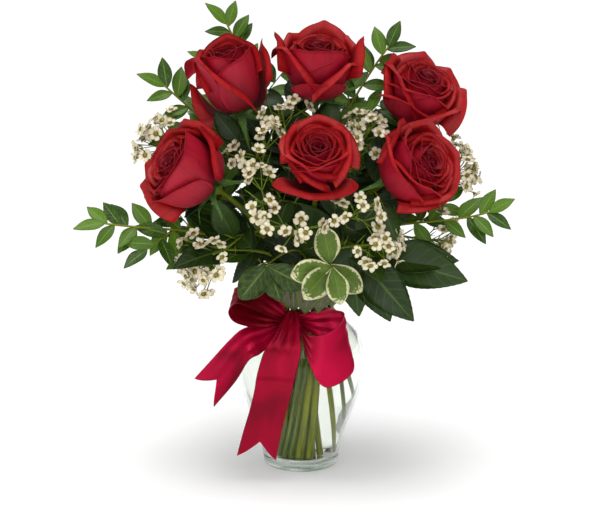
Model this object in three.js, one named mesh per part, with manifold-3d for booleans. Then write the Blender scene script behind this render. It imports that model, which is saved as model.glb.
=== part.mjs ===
// Six red roses with waxflower, huckleberry, salal and variegated pittosporum in a clear glass vase
// of water, with a satin bow tied round its neck. Millimetres, +Z up, front towards -Y. The origin is
// the centre of the vase's flat base. Every stem stands on the vase's floor, or leans on its wall, in a
// plain hole in the water, passes the neck beside the others and then arches out to what it carries.
import * as THREE from "three";
import { mergeVertices } from "three/addons/utils/BufferGeometryUtils.js";
import Module from "manifold-3d";

const wasm = await Module();
wasm.setup();

// ---- driving dimensions ----
const GAP = 0.35; // left between neighbouring pieces
const VASE = {
  foot: [
    [0, 0],
    [31, 0],
    [32.5, 1.8],
  ], // the flat base and its rounded edge
  outline: [
    [32.5, 4],
    [36.6, 25],
    [44.5, 47],
    [51.5, 68],
    [54.5, 92],
    [50, 114],
    [35.5, 128],
    [26, 138],
    [29, 154],
    [37.5, 172],
  ], // radius and height of the outside, from the foot to the rim
  rows: 9,
  sides: 20,
  wall: 2.4,
  floor: 8,
  lip: 0.6, // how far the inner edge of the rim lies below the outer one
};
const WATER_LEVEL = 123;
const HOLE = { wider: 1.6 * GAP, deeper: 4 * GAP, higher: 2 }; // in the water, than the stem in it
const NECK = { height: 138, radius: 21.5 }; // the tightest place inside, where the stems crowd together
// squeeze: how much more room the stems get in the neck, for the waist of the twisted bundle.
const CROWD = { clearance: 0.6, squeeze: 1.5, passes: 900 };
const BUNDLE = { footHeight: VASE.floor + 2 * GAP, footSpread: 0.85, twist: 85 }; // twist in degrees
const STEM = {
  rose: { foot: 2.6, tip: 2.2, sides: 5 },
  huckleberry: { foot: 1.7, tip: 0.8, sides: 3 },
  waxflower: { foot: 1.6, tip: 0.8, sides: 3 },
  salal: { foot: 2, tip: 0.9, sides: 4 },
  pittosporum: { foot: 1.8, tip: 0.8, sides: 4 },
};
const ARCH = { steps: 4, rise: 34, hold: 0.38 }; // of a stem above the neck; hold: how stiff its bend is
const BLADE = 0.8; // thickness of leaves and petals
const ROSE = { length: 47, belly: 28, lip: 38, petals: 5, steps: 10 };
const BUD = {
  foot: [
    [0, 0],
    [8, 0.3],
    [12, 4],
  ],
  rows: 3,
  sides: 8,
  hollow: 5,
}; // the closed heart of a bloom
const SEPAL = { count: 5, root: 2, reach: 27, halfWidth: 3.6, below: 2.8, droop: 8 };
const GOLDEN_ANGLE = 137.5;
const RIBBON = {
  thickness: 0.9,
  band: { low: 131, high: 142, gap: 0.6, thickness: 2 },
  knot: { centre: [-8, -33, 136], halfSize: [9, 8, 7] },
  notch: 12, // depth of the swallow-tail cut in each tail's end
};

const COLOURS = {
  glass: [0xeef6f2, 0.05],
  water: [0xf2f8f6, 0.05],
  roseStem: [0x5c7a2a, 0.6],
  petal: [0xa31621, 0.6],
  huckleberry: [0x2f6a2b, 0.45],
  waxflower: [0xe9e2cf, 0.6],
  salal: [0x24471f, 0.4],
  pittosporum: [0x9fae6a, 0.5],
  satin: [0xa5142c, 0.35],
};

// ---- what stands in the vase ----
// tip: where a stem or a branch ends. toward: which way it points there. rise: how far it first
// climbs in the bundle's direction, where a low branch has to clear the vase's rim. tall: how much
// longer a bloom is than its size gives. open: from a bud at 0 to a full rose at 1. closed: how open
// the outermost petals of its closed heart are.
const ROSES = [
  { tip: [-50, -6, 305], toward: [-0.2, -0.3, 0.93], size: 1, tall: 1.4, open: 0.45, closed: 0.56, turn: 205 },
  { tip: [13, 8, 320], toward: [0.04, -0.3, 0.95], size: 1.04, tall: 1.1, open: 0.95, closed: 0.66, turn: 120 },
  { tip: [88, 14, 300], toward: [0.42, -0.38, 0.82], size: 1.08, tall: 1, open: 0.9, closed: 0.66, turn: 70 },
  { tip: [-73, -34, 251], toward: [-0.72, -0.42, 0.55], size: 1.14, tall: 1, open: 0.75, closed: 0.66, turn: 260 },
  { tip: [13, -50, 264], toward: [0.02, -0.7, 0.71], size: 1, tall: 1, open: 0.85, closed: 0.6, turn: 15 },
  { tip: [76, -31, 257], toward: [0.66, -0.6, 0.45], size: 1.1, tall: 1, open: 0.8, closed: 0.68, turn: 160 },
];
// The petals of each rose: azimuth, openness, tallness, half width, lip (its share of the petal's
// length), how far the lip rolls in radians, and how much higher one side of the rim is.
const PETALS = [
  [
    [-128, 0.78, 1.22, 30, 0.18, 1.7, 0.22],
    [-35, 0.72, 1, 32, 0.05, 0.5, 0],
    [95, 0.6, 1.05, 26, 0.08, 0.7, 0],
    [165, 0.7, 1, 24, 0.12, 1.1, 0],
    [176, 1, 0.66, 14, 0.28, 0.7, 0],
    [8, 0.96, 1.04, 14, 0.12, 0.5, 0],
    [50, 0.66, 1, 26, 0.1, 0.8, 0],
    [-95, 0.58, 1, 28, 0.06, 0.6, 0.1],
    [125, 0.78, 0.92, 22, 0.12, 0.9, 0],
  ],
  [
    [-95, 0.76, 1.2, 34, 0.04, 0.6, 0],
    [174, 0.86, 1.36, 17, 0.16, 0.6, 0],
    [3, 0.86, 1.32, 17, 0.16, 0.6, 0],
    [-42, 0.86, 1.02, 26, 0.14, 1.4, -0.05],
    [-142, 0.82, 1.2, 24, 0.12, 1.3, 0.12],
    [85, 0.7, 1.2, 22, 0.12, 0.8, 0],
    [-85, 0.94, 0.7, 24, 0.06, 0.4, 0],
    [42, 0.8, 1.06, 24, 0.12, 0.9, 0],
    [130, 0.8, 1.08, 24, 0.12, 0.9, 0],
  ],
  [
    [165, 0.86, 1.1, 26, 0.14, 0.9, 0],
    [108, 0.8, 1.14, 22, 0.16, 0.9, 0],
    [58, 0.78, 1.1, 20, 0.18, 1, 0],
    [12, 0.82, 1.08, 20, 0.18, 1.1, 0],
    [-42, 0.86, 1.02, 22, 0.14, 1, 0],
    [-100, 0.9, 0.86, 28, 0.1, 1, 0],
    [-150, 0.78, 1.1, 30, 0.14, 1.2, 0.1],
    [-95, 0.72, 1.06, 28, 0.1, 1, 0],
    [35, 0.9, 0.94, 22, 0.16, 1, 0],
  ],
  [
    [-45, 0.76, 1.16, 38, 0.03, 0.3, 0],
    [163, 0.98, 1.02, 22, 0.2, 0.7, 0],
    [130, 0.84, 1.04, 26, 0.1, 0.8, 0],
    [45, 0.88, 1.1, 26, 0.12, 0.8, 0],
    [0, 0.92, 0.98, 26, 0.12, 0.8, 0],
    [-125, 0.84, 0.96, 28, 0.06, 0.5, 0],
    [85, 0.74, 1.06, 26, 0.06, 0.6, 0],
    [-150, 0.72, 1.04, 26, 0.06, 0.6, 0],
    [-75, 0.66, 1.1, 30, 0.04, 0.4, 0],
  ],
  [
    [90, 0.68, 1.1, 30, 0.12, 1, 0],
    [12, 0.66, 1.1, 30, 0.12, 1, 0],
    [168, 0.68, 1.1, 30, 0.12, 1, 0],
    [-118, 0.66, 1.08, 32, 0.12, 1.1, 0.08],
    [-60, 0.6, 1.08, 30, 0.1, 0.9, 0],
    [-145, 0.72, 1.02, 32, 0.12, 1.3, 0.14],
    [-90, 0.98, 0.78, 40, 0.24, 0.9, 0],
    [45, 0.74, 1.02, 26, 0.12, 1, 0],
    [130, 0.74, 1.02, 26, 0.12, 1, 0],
  ],
  [
    [-118, 0.94, 1.04, 38, 0.06, 1.2, 0],
    [165, 0.94, 1.05, 22, 0.12, 0.9, 0],
    [112, 0.84, 1.1, 26, 0.12, 0.9, 0],
    [45, 0.78, 1.1, 30, 0.1, 0.9, 0],
    [-20, 0.8, 1.08, 28, 0.1, 0.9, 0],
    [-50, 0.92, 0.96, 18, 0.14, 1, 0],
    [-85, 0.76, 1.08, 30, 0.08, 0.9, 0],
    [-165, 0.74, 1.08, 28, 0.08, 0.8, 0],
    [75, 0.86, 1, 24, 0.12, 1, 0],
  ],
];
// leaves: how many. facing: the way that the upper faces of the leaves look, if not to the front.
const FRONT = [0, -0.75, 0.65];
const BACK = [0, 0.7, 0.7];
const HUCKLEBERRY = [
  {
    name: "huckleberry_1",
    branches: [
      { tip: [-63, 42, 376], toward: [-0.45, 0.05, 0.9], leaves: 8 },
      { tip: [-114, 8, 328], toward: [-0.72, -0.05, 0.68], leaves: 8 },
    ],
  },
  {
    name: "huckleberry_2",
    branches: [
      { tip: [74, 30, 358], toward: [0.6, 0.05, 0.8], leaves: 8 },
      { tip: [106, 84, 286], toward: [0.6, 0.55, 0.55], leaves: 8, facing: BACK },
    ],
  },
  {
    name: "huckleberry_3",
    branches: [{ tip: [-162, -44, 222], toward: [-0.95, -0.2, 0.2], leaves: 10, rise: 84 }],
  },
  {
    name: "huckleberry_4",
    branches: [
      { tip: [22, 84, 340], toward: [0.15, 0.5, 0.85], leaves: 7, facing: BACK },
      { tip: [-92, 84, 292], toward: [-0.55, 0.6, 0.55], leaves: 8, facing: BACK },
    ],
  },
  {
    name: "huckleberry_5",
    branches: [{ tip: [156, -36, 230], toward: [0.85, -0.25, 0.35], leaves: 8, rise: 100 }],
  },
];
const SALAL = [
  {
    name: "salal_1",
    branches: [
      { tip: [74, -44, 192], toward: [0.9, -0.2, -0.05], facing: [0.15, -0.45, 0.86], leaves: 3, rise: 62 },
      { tip: [54, -51, 187], toward: [0.4, -0.45, -0.8], facing: [0.3, -0.85, 0.4], leaves: 1, rise: 70 },
    ],
  },
  {
    name: "salal_2",
    branches: [
      { tip: [-62, -46, 200], toward: [-0.75, -0.4, 0.1], facing: [-0.1, -0.6, 0.8], leaves: 3, rise: 58 },
      { tip: [28, -34, 226], toward: [0.25, -0.5, 0.82], facing: [0.1, -0.9, 0.4], leaves: 2 },
    ],
  },
  {
    name: "salal_3",
    branches: [
      { tip: [-62, 66, 205], toward: [-0.65, 0.7, 0.15], facing: BACK, leaves: 2, rise: 56 },
      { tip: [64, 72, 205], toward: [0.6, 0.75, 0.15], facing: BACK, leaves: 2, rise: 56 },
      { tip: [0, 84, 232], toward: [0, 0.85, 0.45], facing: BACK, leaves: 3 },
    ],
  },
];
// whorl: the leaves round a tip, by the angle at which each stands out, from +X through up.
const PITTOSPORUM = [
  {
    name: "pittosporum",
    branches: [
      { tip: [26, -66, 190], toward: [0.15, -0.95, 0.1], whorl: [262, 352, 318, 78, 222], rise: 66 },
      { tip: [-28, -60, 190], toward: [-0.15, -0.95, 0.05], whorl: [205, 250, 308], rise: 66 },
    ],
  },
];
const WAXFLOWER = [
  {
    name: "waxflower_1",
    branches: [
      { tip: [-116, -12, 286], toward: [-0.75, -0.15, 0.62] },
      { tip: [-72, -60, 200], toward: [-0.6, -0.7, 0.1], rise: 56 },
    ],
  },
  {
    name: "waxflower_2",
    branches: [
      { tip: [-16, -20, 312], toward: [-0.15, -0.5, 0.85] },
      { tip: [-38, -46, 284], toward: [-0.3, -0.65, 0.7] },
      { tip: [-36, -72, 248], toward: [-0.3, -0.85, 0.4] },
    ],
  },
  {
    name: "waxflower_3",
    branches: [
      { tip: [56, -24, 298], toward: [0.3, -0.5, 0.8] },
      { tip: [48, -76, 240], toward: [0.3, -0.85, 0.4] },
    ],
  },
  {
    name: "waxflower_4",
    branches: [
      { tip: [134, 10, 252], toward: [0.8, 0, 0.5], rise: 78 },
      { tip: [120, -22, 202], toward: [0.85, -0.3, 0.1], rise: 50 },
    ],
  },
  {
    name: "waxflower_5",
    branches: [
      { tip: [-6, -86, 226], toward: [-0.05, -0.95, 0.25], rise: 66 },
      { tip: [68, -78, 212], toward: [0.5, -0.8, 0.2] },
    ],
  },
  {
    name: "waxflower_6",
    branches: [
      { tip: [-4, 84, 262], toward: [0, 0.85, 0.5] },
      { tip: [-66, 62, 266], toward: [-0.5, 0.65, 0.55] },
      { tip: [50, 64, 282], toward: [0.3, 0.6, 0.7] },
    ],
  },
];
const FLORETS = { count: 5, domeRadius: 21, rise: 4, drop: 9, stalk: [4, 20] }; // stalk: root below the tip
const HIP = [
  { below: 9, radius: 2.2 },
  { below: 5, radius: 4.8 },
  { below: GAP, radius: 4.2 },
]; // the swelling under a bloom, which stops a little short of it
// Where along the first branch the others leave it, and their share of its radius.
const FORK = { at: 0.22, thinner: 0.8 };
// Stems that stand apart from the bundle, with the foot against the vase's wall: the azimuths of
// foot and neck, and the foot's height.
const LEANING = {
  huckleberry_5: { foot: -4, neck: -26, height: 50 },
  waxflower_4: { foot: -8, neck: 8, height: 26 },
  salal_1: { foot: -24, neck: -50, height: 14 },
};

// ---- small tools ----
const vector = (p) => new THREE.Vector3(...p);
const radians = THREE.MathUtils.degToRad;
const lerp = THREE.MathUtils.lerp;
const Z = new THREE.Vector3(0, 0, 1);

// A steady number from -1 to 1 for the k-th choice of the i-th repeat of a piece.
function vary(seed, i, k) {
  const wave = Math.sin(seed * 12.9898 + i * 78.233 + k * 37.719) * 43758.5453;
  return 2 * (wave - Math.floor(wave)) - 1;
}

// A closed geometry as a solid: vertices that meet are welded and faces without area dropped.
function solid(geometry) {
  const bare = geometry.clone();
  bare.deleteAttribute("normal");
  bare.deleteAttribute("uv");
  const welded = mergeVertices(bare, 1e-3);
  const corners = welded.index.array;
  const faces = [];
  for (let i = 0; i < corners.length; i += 3) {
    const [a, b, c] = corners.slice(i, i + 3);
    if (a !== b && b !== c && c !== a) faces.push(a, b, c);
  }
  const mesh = new wasm.Mesh({
    numProp: 3,
    vertProperties: welded.attributes.position.array,
    triVerts: new Uint32Array(faces),
  });
  return new wasm.Manifold(mesh);
}

function geometryOf(shape) {
  const mesh = shape.getMesh();
  const position = new Float32Array(mesh.numVert * 3);
  for (let i = 0; i < mesh.numVert; i++) {
    position.set(mesh.vertProperties.subarray(i * mesh.numProp, i * mesh.numProp + 3), i * 3);
  }
  return new THREE.BufferGeometry()
    .setAttribute("position", new THREE.BufferAttribute(position, 3))
    .setIndex(new THREE.BufferAttribute(mesh.triVerts, 1));
}

function joined(solids) {
  return solids.reduce((whole, next) => whole.add(next));
}

// The largest of the bodies that a cut has left.
function largestBody(shape) {
  return shape.decompose().sort((a, b) => b.volume() - a.volume())[0];
}

// A thin closed sheet over a grid: surface(u, v) gives a point for u and v from 0 to 1, and both faces
// are split into triangles alike.
function blade(surface, columns, rows, thickness) {
  const grid = new THREE.PlaneGeometry(1, 1, columns, rows);
  const count = grid.attributes.position.count;
  const position = new Float32Array(count * 6);
  const step = 0.02;
  for (let i = 0; i < count; i++) {
    const u = grid.attributes.position.getX(i) + 0.5;
    const v = grid.attributes.position.getY(i) + 0.5;
    const cu = THREE.MathUtils.clamp(u, 2 * step, 1 - 2 * step);
    const cv = THREE.MathUtils.clamp(v, 2 * step, 1 - 2 * step);
    const across = surface(cu + step, cv).sub(surface(cu - step, cv));
    const along = surface(cu, cv + step).sub(surface(cu, cv - step));
    const half = across.cross(along).setLength(thickness / 2);
    surface(u, v).add(half).toArray(position, i * 3);
    surface(u, v).sub(half).toArray(position, (i + count) * 3);
  }
  const faces = [];
  const cells = grid.index.array;
  for (let i = 0; i < cells.length; i += 3) {
    const [a, b, c] = cells.slice(i, i + 3);
    faces.push(a, b, c, a + count, c + count, b + count);
  }
  const wide = columns + 1;
  const edge = [];
  for (let r = 0; r < rows; r++) edge.push(r * wide);
  for (let c = 0; c < columns; c++) edge.push(rows * wide + c);
  for (let r = rows; r > 0; r--) edge.push(r * wide + columns);
  for (let c = columns; c > 0; c--) edge.push(c);
  edge.forEach((p, i) => {
    const q = edge[(i + 1) % edge.length];
    faces.push(q, p, p + count, q, p + count, q + count);
  });
  const geometry = new THREE.BufferGeometry()
    .setAttribute("position", new THREE.BufferAttribute(position, 3))
    .setIndex(faces);
  return solid(geometry);
}

// A tube with closed ends through places that each have a point, a direction and a radius.
function tube(places, sides) {
  const rows = places.length - 1;
  const geometry = new THREE.CylinderGeometry(1, 1, 1, sides, rows);
  const position = geometry.attributes.position;
  const turned = new THREE.Quaternion();
  let normal = new THREE.Vector3(1, 0, 0).projectOnPlane(places[0].direction).normalize();
  const frames = places.map(({ point, direction, radius }, i) => {
    if (i > 0) turned.setFromUnitVectors(places[i - 1].direction, direction);
    normal = normal.clone().applyQuaternion(turned);
    return { point, radius, normal, side: normal.clone().cross(direction) };
  });
  for (let i = 0; i < position.count; i++) {
    const { point, radius, normal: x, side: z } = frames[Math.round((position.getY(i) + 0.5) * rows)];
    const moved = point
      .clone()
      .addScaledVector(x, position.getX(i) * radius)
      .addScaledVector(z, position.getZ(i) * radius);
    position.setXYZ(i, moved.x, moved.y, moved.z);
  }
  return solid(geometry);
}

// The matrix that turns +Z towards a direction, scales, and moves the origin to a point.
function poseOf({ size, tall, tip, toward }) {
  const tilt = new THREE.Quaternion().setFromUnitVectors(Z, vector(toward).normalize());
  return new THREE.Matrix4().compose(vector(tip), tilt, new THREE.Vector3(size, size, size * tall));
}

// ---- vase and water ----
const outline = new THREE.SplineCurve(VASE.outline.map((p) => new THREE.Vector2(...p)));

// The outside of the vase moved inwards by a depth, from the foot to the rim.
function wallLine(depth) {
  return Array.from({ length: VASE.rows + 1 }, (_, i) => {
    const tangent = outline.getTangent(i / VASE.rows);
    const outside = outline.getPoint(i / VASE.rows);
    return outside.add(new THREE.Vector2(-tangent.y, tangent.x).multiplyScalar(depth));
  });
}

// The same line cut off below and above.
function wallLineBetween(depth, low, high) {
  const line = wallLine(depth);
  const radiusAt = (height) => {
    const above = line.findIndex((p) => p.y > height);
    const [a, b] = [line[Math.max(above, 1) - 1], line[Math.max(above, 1)]];
    return lerp(a.x, b.x, (height - a.y) / (b.y - a.y));
  };
  const inside = line.filter((p) => p.y > low + 1 && p.y < high - 1);
  const ends = [low, high].map((height) => new THREE.Vector2(radiusAt(height), height));
  return [ends[0], ...inside, ends[1]];
}

function lathe(points) {
  return solid(new THREE.LatheGeometry(points, VASE.sides).rotateX(Math.PI / 2));
}

function vase() {
  const outside = wallLine(0);
  const rim = outside[VASE.rows];
  const inside = wallLineBetween(VASE.wall, VASE.floor, rim.y - VASE.lip).reverse();
  const foot = VASE.foot.map((p) => new THREE.Vector2(...p));
  return lathe([...foot, ...outside, ...inside, new THREE.Vector2(0, VASE.floor)]);
}

function water(stems) {
  const wall = wallLineBetween(VASE.wall + GAP, VASE.floor + GAP, WATER_LEVEL);
  const axis = [VASE.floor + GAP, WATER_LEVEL].map((height) => new THREE.Vector2(0, height));
  const holes = stems.map(({ foot, neck, direction, radius, sides }) => {
    const share = (WATER_LEVEL + HOLE.higher - foot.z) / (neck.z - foot.z);
    const mouth = foot.clone().lerp(neck, share);
    const bottom = foot.clone().addScaledVector(direction, -HOLE.deeper);
    const places = [bottom, mouth].map((point) => ({ point, direction, radius: radius + HOLE.wider }));
    return tube(places, sides);
  });
  return largestBody(lathe([axis[0], ...wall, axis[1]]).subtract(joined(holes)));
}

// ---- stems ----
// Places in the neck: each stem starts from the side that it leans to, and they push each other
// apart until none touch.
function settleInNeck(stems) {
  const { clearance, squeeze, passes } = CROWD;
  const centre = new THREE.Vector2();
  const places = stems.map(({ branches, radius }) => {
    const sum = branches.reduce((total, { tip }) => total.add(vector(tip)), new THREE.Vector3());
    const { x, y, z } = sum.divideScalar(branches.length);
    const lean = Math.atan2(Math.hypot(x, y), z - NECK.height) / (Math.PI / 2);
    return new THREE.Vector2(x, y).setLength((NECK.radius - radius) * Math.min(1, lean * 1.2));
  });
  for (let pass = 0; pass < passes; pass++) {
    for (let i = 0; i < stems.length; i++) {
      for (let j = i + 1; j < stems.length; j++) {
        const apart = places[j].clone().sub(places[i]);
        const push = (stems[i].radius + stems[j].radius + clearance) * squeeze - apart.length();
        if (push <= 0) continue;
        apart.setLength(push / 2);
        places[i].sub(apart);
        places[j].add(apart);
      }
    }
    places.forEach((p, i) => p.clampLength(0, NECK.radius - stems[i].radius));
    stems.forEach(({ name, radius }, i) => {
      if (!LEANING[name]) return;
      places[i].set(NECK.radius - radius, 0).rotateAround(centre, radians(LEANING[name].neck));
    });
  }
  return places;
}

// Where a leaning stem's foot is: just off the wall.
function footOnWall({ foot, height }, radius) {
  const wall = wallLineBetween(VASE.wall, height, height + 9)[0].x * Math.cos(Math.PI / VASE.sides);
  const reach = wall - radius - GAP;
  return new THREE.Vector3(reach * Math.cos(radians(foot)), reach * Math.sin(radians(foot)), height);
}

function archTo(start, direction, { tip, toward, rise = ARCH.rise }) {
  const end = vector(tip);
  const hold = ARCH.hold * start.distanceTo(end);
  return new THREE.CubicBezierCurve3(
    start,
    start.clone().addScaledVector(direction, Math.max(hold, rise)),
    end.clone().addScaledVector(vector(toward).normalize(), -hold),
    end,
  );
}

// The route of every stem: straight from its foot to the neck, then an arch to its tip, off which
// its other branches fork.
function routeStems(plants) {
  const stems = plants.map((plant) => ({ ...plant, radius: STEM[plant.kind].foot }));
  const places = settleInNeck(stems);
  return stems.map((stem, i) => {
    const below = places[i].clone().rotateAround(new THREE.Vector2(), radians(-BUNDLE.twist));
    below.multiplyScalar(BUNDLE.footSpread);
    const leaning = LEANING[stem.name];
    const inBundle = new THREE.Vector3(below.x, below.y, BUNDLE.footHeight);
    const foot = leaning ? footOnWall(leaning, stem.radius) : inBundle;
    const neck = new THREE.Vector3(places[i].x, places[i].y, NECK.height);
    const direction = neck.clone().sub(foot).normalize();
    const bent = new THREE.Vector3(neck.x, neck.y, 7 * NECK.radius).normalize();
    const leaving = leaning ? bent : direction;
    const first = archTo(neck, leaving, stem.branches[0]);
    const branches = stem.branches.map((branch, k) => {
      const at = FORK.at * (1 + 0.3 * (k - 1));
      const arch = k === 0 ? first : archTo(first.getPointAt(at), first.getTangentAt(at), branch);
      return { ...branch, arch, toward: vector(branch.toward).normalize() };
    });
    return { ...stem, branches, foot, neck, direction, leaving, sides: STEM[stem.kind].sides };
  });
}

function stemSolid({ kind, foot, direction, leaving, branches, sides, size }) {
  const thickness = STEM[kind];
  const tubes = branches.map(({ arch, toward }, k) => {
    const start = thickness.foot * (k === 0 ? 1 : FORK.thinner);
    const end = 1 - (kind === "rose" ? (HIP[0].below * size) / arch.getLength() : 0);
    const places = Array.from({ length: ARCH.steps + 1 }, (_, i) => {
      const t = (end * i) / ARCH.steps;
      const tangent = k === 0 && i === 0 ? leaving : arch.getTangentAt(t);
      return { point: arch.getPointAt(t), direction: tangent, radius: lerp(start, thickness.tip, t) };
    });
    if (kind === "rose") {
      places.pop();
      const tip = arch.getPoint(1);
      HIP.forEach(({ below, radius }) => {
        const point = tip.clone().addScaledVector(toward, -below * size);
        places.push({ point, direction: toward, radius: radius * size });
      });
    }
    return k === 0 ? [{ point: foot, direction, radius: start }, ...places] : places;
  });
  return joined(tubes.map((places) => tube(places, sides)));
}

// The middle of a stem's faceted tube, a distance back from the tip.
function onStem(arch, back) {
  const t = THREE.MathUtils.clamp(1 - back / arch.getLength(), 0.1, 1) * ARCH.steps;
  const step = Math.min(Math.floor(t), ARCH.steps - 1);
  const ends = [step, step + 1].map((k) => arch.getPointAt(k / ARCH.steps));
  return { point: ends[0].clone().lerp(ends[1], t - step), tangent: ends[1].sub(ends[0]).normalize() };
}

// ---- roses ----
// The side view of a petal: radius and height from where it leaves the bud to its lip. openness
// runs from 0 at the heart to 1 outside, and open is the whole bloom's.
function petalSide(openness, open, tall) {
  const belly = lerp(4, ROSE.belly, openness ** 0.7);
  const lip = lerp(1, lerp(ROSE.belly * 0.9, ROSE.lip, open), openness ** 1.2);
  const height = tall * ROSE.length * (1 - 0.3 * open * openness ** 2) - 6 * (1 - openness) ** 4;
  return new THREE.CubicBezierCurve(
    new THREE.Vector2(lerp(3, 6, openness), lerp(18, 2.5, openness)),
    new THREE.Vector2(belly * 1.1 + 2, lerp(19, 0.5, openness)),
    new THREE.Vector2(belly, height * 0.66),
    new THREE.Vector2(lip, height),
  );
}

// One petal, grown along the side curve and rolled outwards past a fold line that drops towards its
// sides, so that its tip stands out as a point.
function petal([azimuth, openness, tall, halfWidth, lip, roll, slope], open, pose) {
  const side = petalSide(openness, open, tall);
  const surface = (u, v) => {
    const s = 2 * u - 1;
    const off = Math.abs(s);
    const top = 1 - (0.02 + 0.5 * lip) * off ** 1.2 - 0.22 * openness * off ** 4.5 + slope * s;
    const fold = top - lip * (1 + 1.1 * off ** 1.4);
    const reach = top * (1 - (1 - v) ** 1.5);
    const place = side.getPoint(0);
    for (let i = 0; i < ROSE.steps; i++) {
      const [from, to] = [i, i + 1].map((k) => (reach * k) / ROSE.steps);
      const step = side.getPoint(to).sub(side.getPoint(from));
      const past = ((from + to) / 2 - fold) / (0.75 * (top - fold));
      const bend = roll * (1 + 0.7 * off) * THREE.MathUtils.smoothstep(past, 0, 1);
      place.add(step.rotateAround(new THREE.Vector2(), -bend));
    }
    const wide = Math.sin((Math.PI / 2) * Math.min(1, reach / 0.6));
    const angle = radians(azimuth) - (s * halfWidth * wide) / Math.max(side.getPoint(reach).x, 5);
    const radius = place.x * (1 + 0.05 * s);
    return new THREE.Vector3(radius * Math.cos(angle), radius * Math.sin(angle), place.y).applyMatrix4(pose);
  };
  return blade(surface, 2, 3, BLADE);
}

// The closed heart of a bloom, which stands for the petals wound up inside it.
function heart({ closed, open }, pose) {
  const side = petalSide(closed, open, 1).getPoints(BUD.rows).slice(1);
  const foot = BUD.foot.map((p) => new THREE.Vector2(...p));
  const profile = [...foot, ...side, new THREE.Vector2(0, side.at(-1).y - BUD.hollow)];
  return solid(new THREE.LatheGeometry(profile, BUD.sides).rotateX(Math.PI / 2).applyMatrix4(pose));
}

function bloom(rose) {
  const pose = poseOf(rose);
  const outer = [...rose.petals].sort((a, b) => b[1] - a[1]).slice(0, ROSE.petals);
  const petals = outer.map((row) => petal(row, rose.open, pose));
  // The largest body leaves out the hollows that crossing petals close off.
  return largestBody(joined([heart(rose, pose), ...petals]));
}

// The sepals under a bloom.
function sepals(rose) {
  const pose = poseOf(rose);
  const { count, root, halfWidth, below } = SEPAL;
  const blades = Array.from({ length: count }, (_, i) => {
    const azimuth = radians((i * 360) / count + rose.turn);
    const droop = SEPAL.droop + 5 * vary(rose.turn, i, 2);
    const sepal = (u, v) => {
      const reach = root + SEPAL.reach * v;
      const angle = azimuth - ((2 * u - 1) * halfWidth * Math.sin(Math.PI * v)) / reach;
      const height = -below - droop * v * v;
      return new THREE.Vector3(reach * Math.cos(angle), reach * Math.sin(angle), height).applyMatrix4(pose);
    };
    return blade(sepal, 1, 2, BLADE);
  });
  return joined(blades);
}

// ---- leaves and florets ----
// Half the width of a leaf along its length, as a share of its largest half width.
const OUTLINES = {
  huckleberry: (v) => Math.sin(Math.PI * v ** 0.9) ** 0.85,
  salal: (v) => Math.sin(Math.PI * v ** 0.72) ** 0.8 * (1 - 0.12 * v),
  pittosporum: (v) => Math.sin(Math.PI * v ** 1.25) ** 0.7,
};
const LEAF = {
  huckleberry: { length: 27, width: 12.5, arch: 4, fold: 0, wave: 0, cells: [1, 3], spacing: 12.5 },
  salal: { length: 62, width: 38, arch: 9, fold: 4, wave: 0.8, cells: [2, 3], spacing: 24 },
  pittosporum: { length: 34, width: 21, arch: 4, fold: 1.5, wave: 1.4, cells: [2, 3], spacing: 3 },
};

// A leaf from its root: direction is its rib's, facing is the way its upper face looks.
function leaf(kind, root, direction, facing, scale, grow = 0) {
  const { length, width, arch, fold, wave, cells } = LEAF[kind];
  const along = direction.clone().normalize();
  const across = along.clone().cross(facing).normalize();
  const up = across.clone().cross(along);
  const long = length * scale + 2 * grow;
  const surface = (u, v) => {
    const s = 2 * u - 1;
    const half = (width / 2) * scale * OUTLINES[kind](v) + grow;
    const lift = fold * scale * s * s * Math.sin(Math.PI * v) + wave * Math.sin(9 * v + 4 * s) * s * s;
    return root
      .clone()
      .addScaledVector(along, long * v)
      .addScaledVector(across, half * s)
      .addScaledVector(up, lift - arch * scale * v * v);
  };
  return blade(surface, cells[0], cells[1], BLADE + 2 * grow);
}

// The direction that stands at an angle to an axis, over to one side.
function spreadFrom(axis, sideways, angle) {
  return axis.clone().multiplyScalar(Math.cos(angle)).addScaledVector(sideways, Math.sin(angle));
}

// Where the leaves of a branch go: roots spaced back from the tip on alternate sides.
function leafPlaces(kind, { arch, leaves, facing = FRONT }, seed) {
  const face = vector(facing).normalize();
  return Array.from({ length: leaves }, (_, i) => {
    const { point: root, tangent } = onStem(arch, i === 0 ? 1 : 2 + LEAF[kind].spacing * i);
    const sideways = tangent.clone().cross(face).normalize().multiplyScalar(i % 2 ? 1 : -1);
    const spread = i === 0 ? 0.25 : 0.95 + 0.2 * vary(seed, i, 1);
    const direction = spreadFrom(tangent, sideways, spread);
    const tilt = face.clone().addScaledVector(sideways, 0.35 * vary(seed, i, 2));
    tilt.addScaledVector(tangent, 0.25 * vary(seed, i, 3));
    const scale = (i === 0 ? 0.86 : 0.95) + 0.12 * vary(seed, i, 4);
    return { root, direction, facing: tilt, scale, axis: tangent };
  });
}

// Pittosporum leaves stand in a whorl round the tip.
function whorlPlaces({ arch, whorl, toward }) {
  const right = toward.clone().cross(Z).normalize();
  return whorl.map((degrees, i) => {
    const out = right.clone().applyAxisAngle(toward, radians(-degrees));
    const spread = 1.25 + 0.2 * vary(degrees, i, 1);
    const direction = spreadFrom(toward, out, spread);
    const root = onStem(arch, 1 + LEAF.pittosporum.spacing * i).point;
    return { root, direction, facing: toward, scale: 1 + 0.12 * vary(degrees, i, 2), axis: toward };
  });
}

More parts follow.
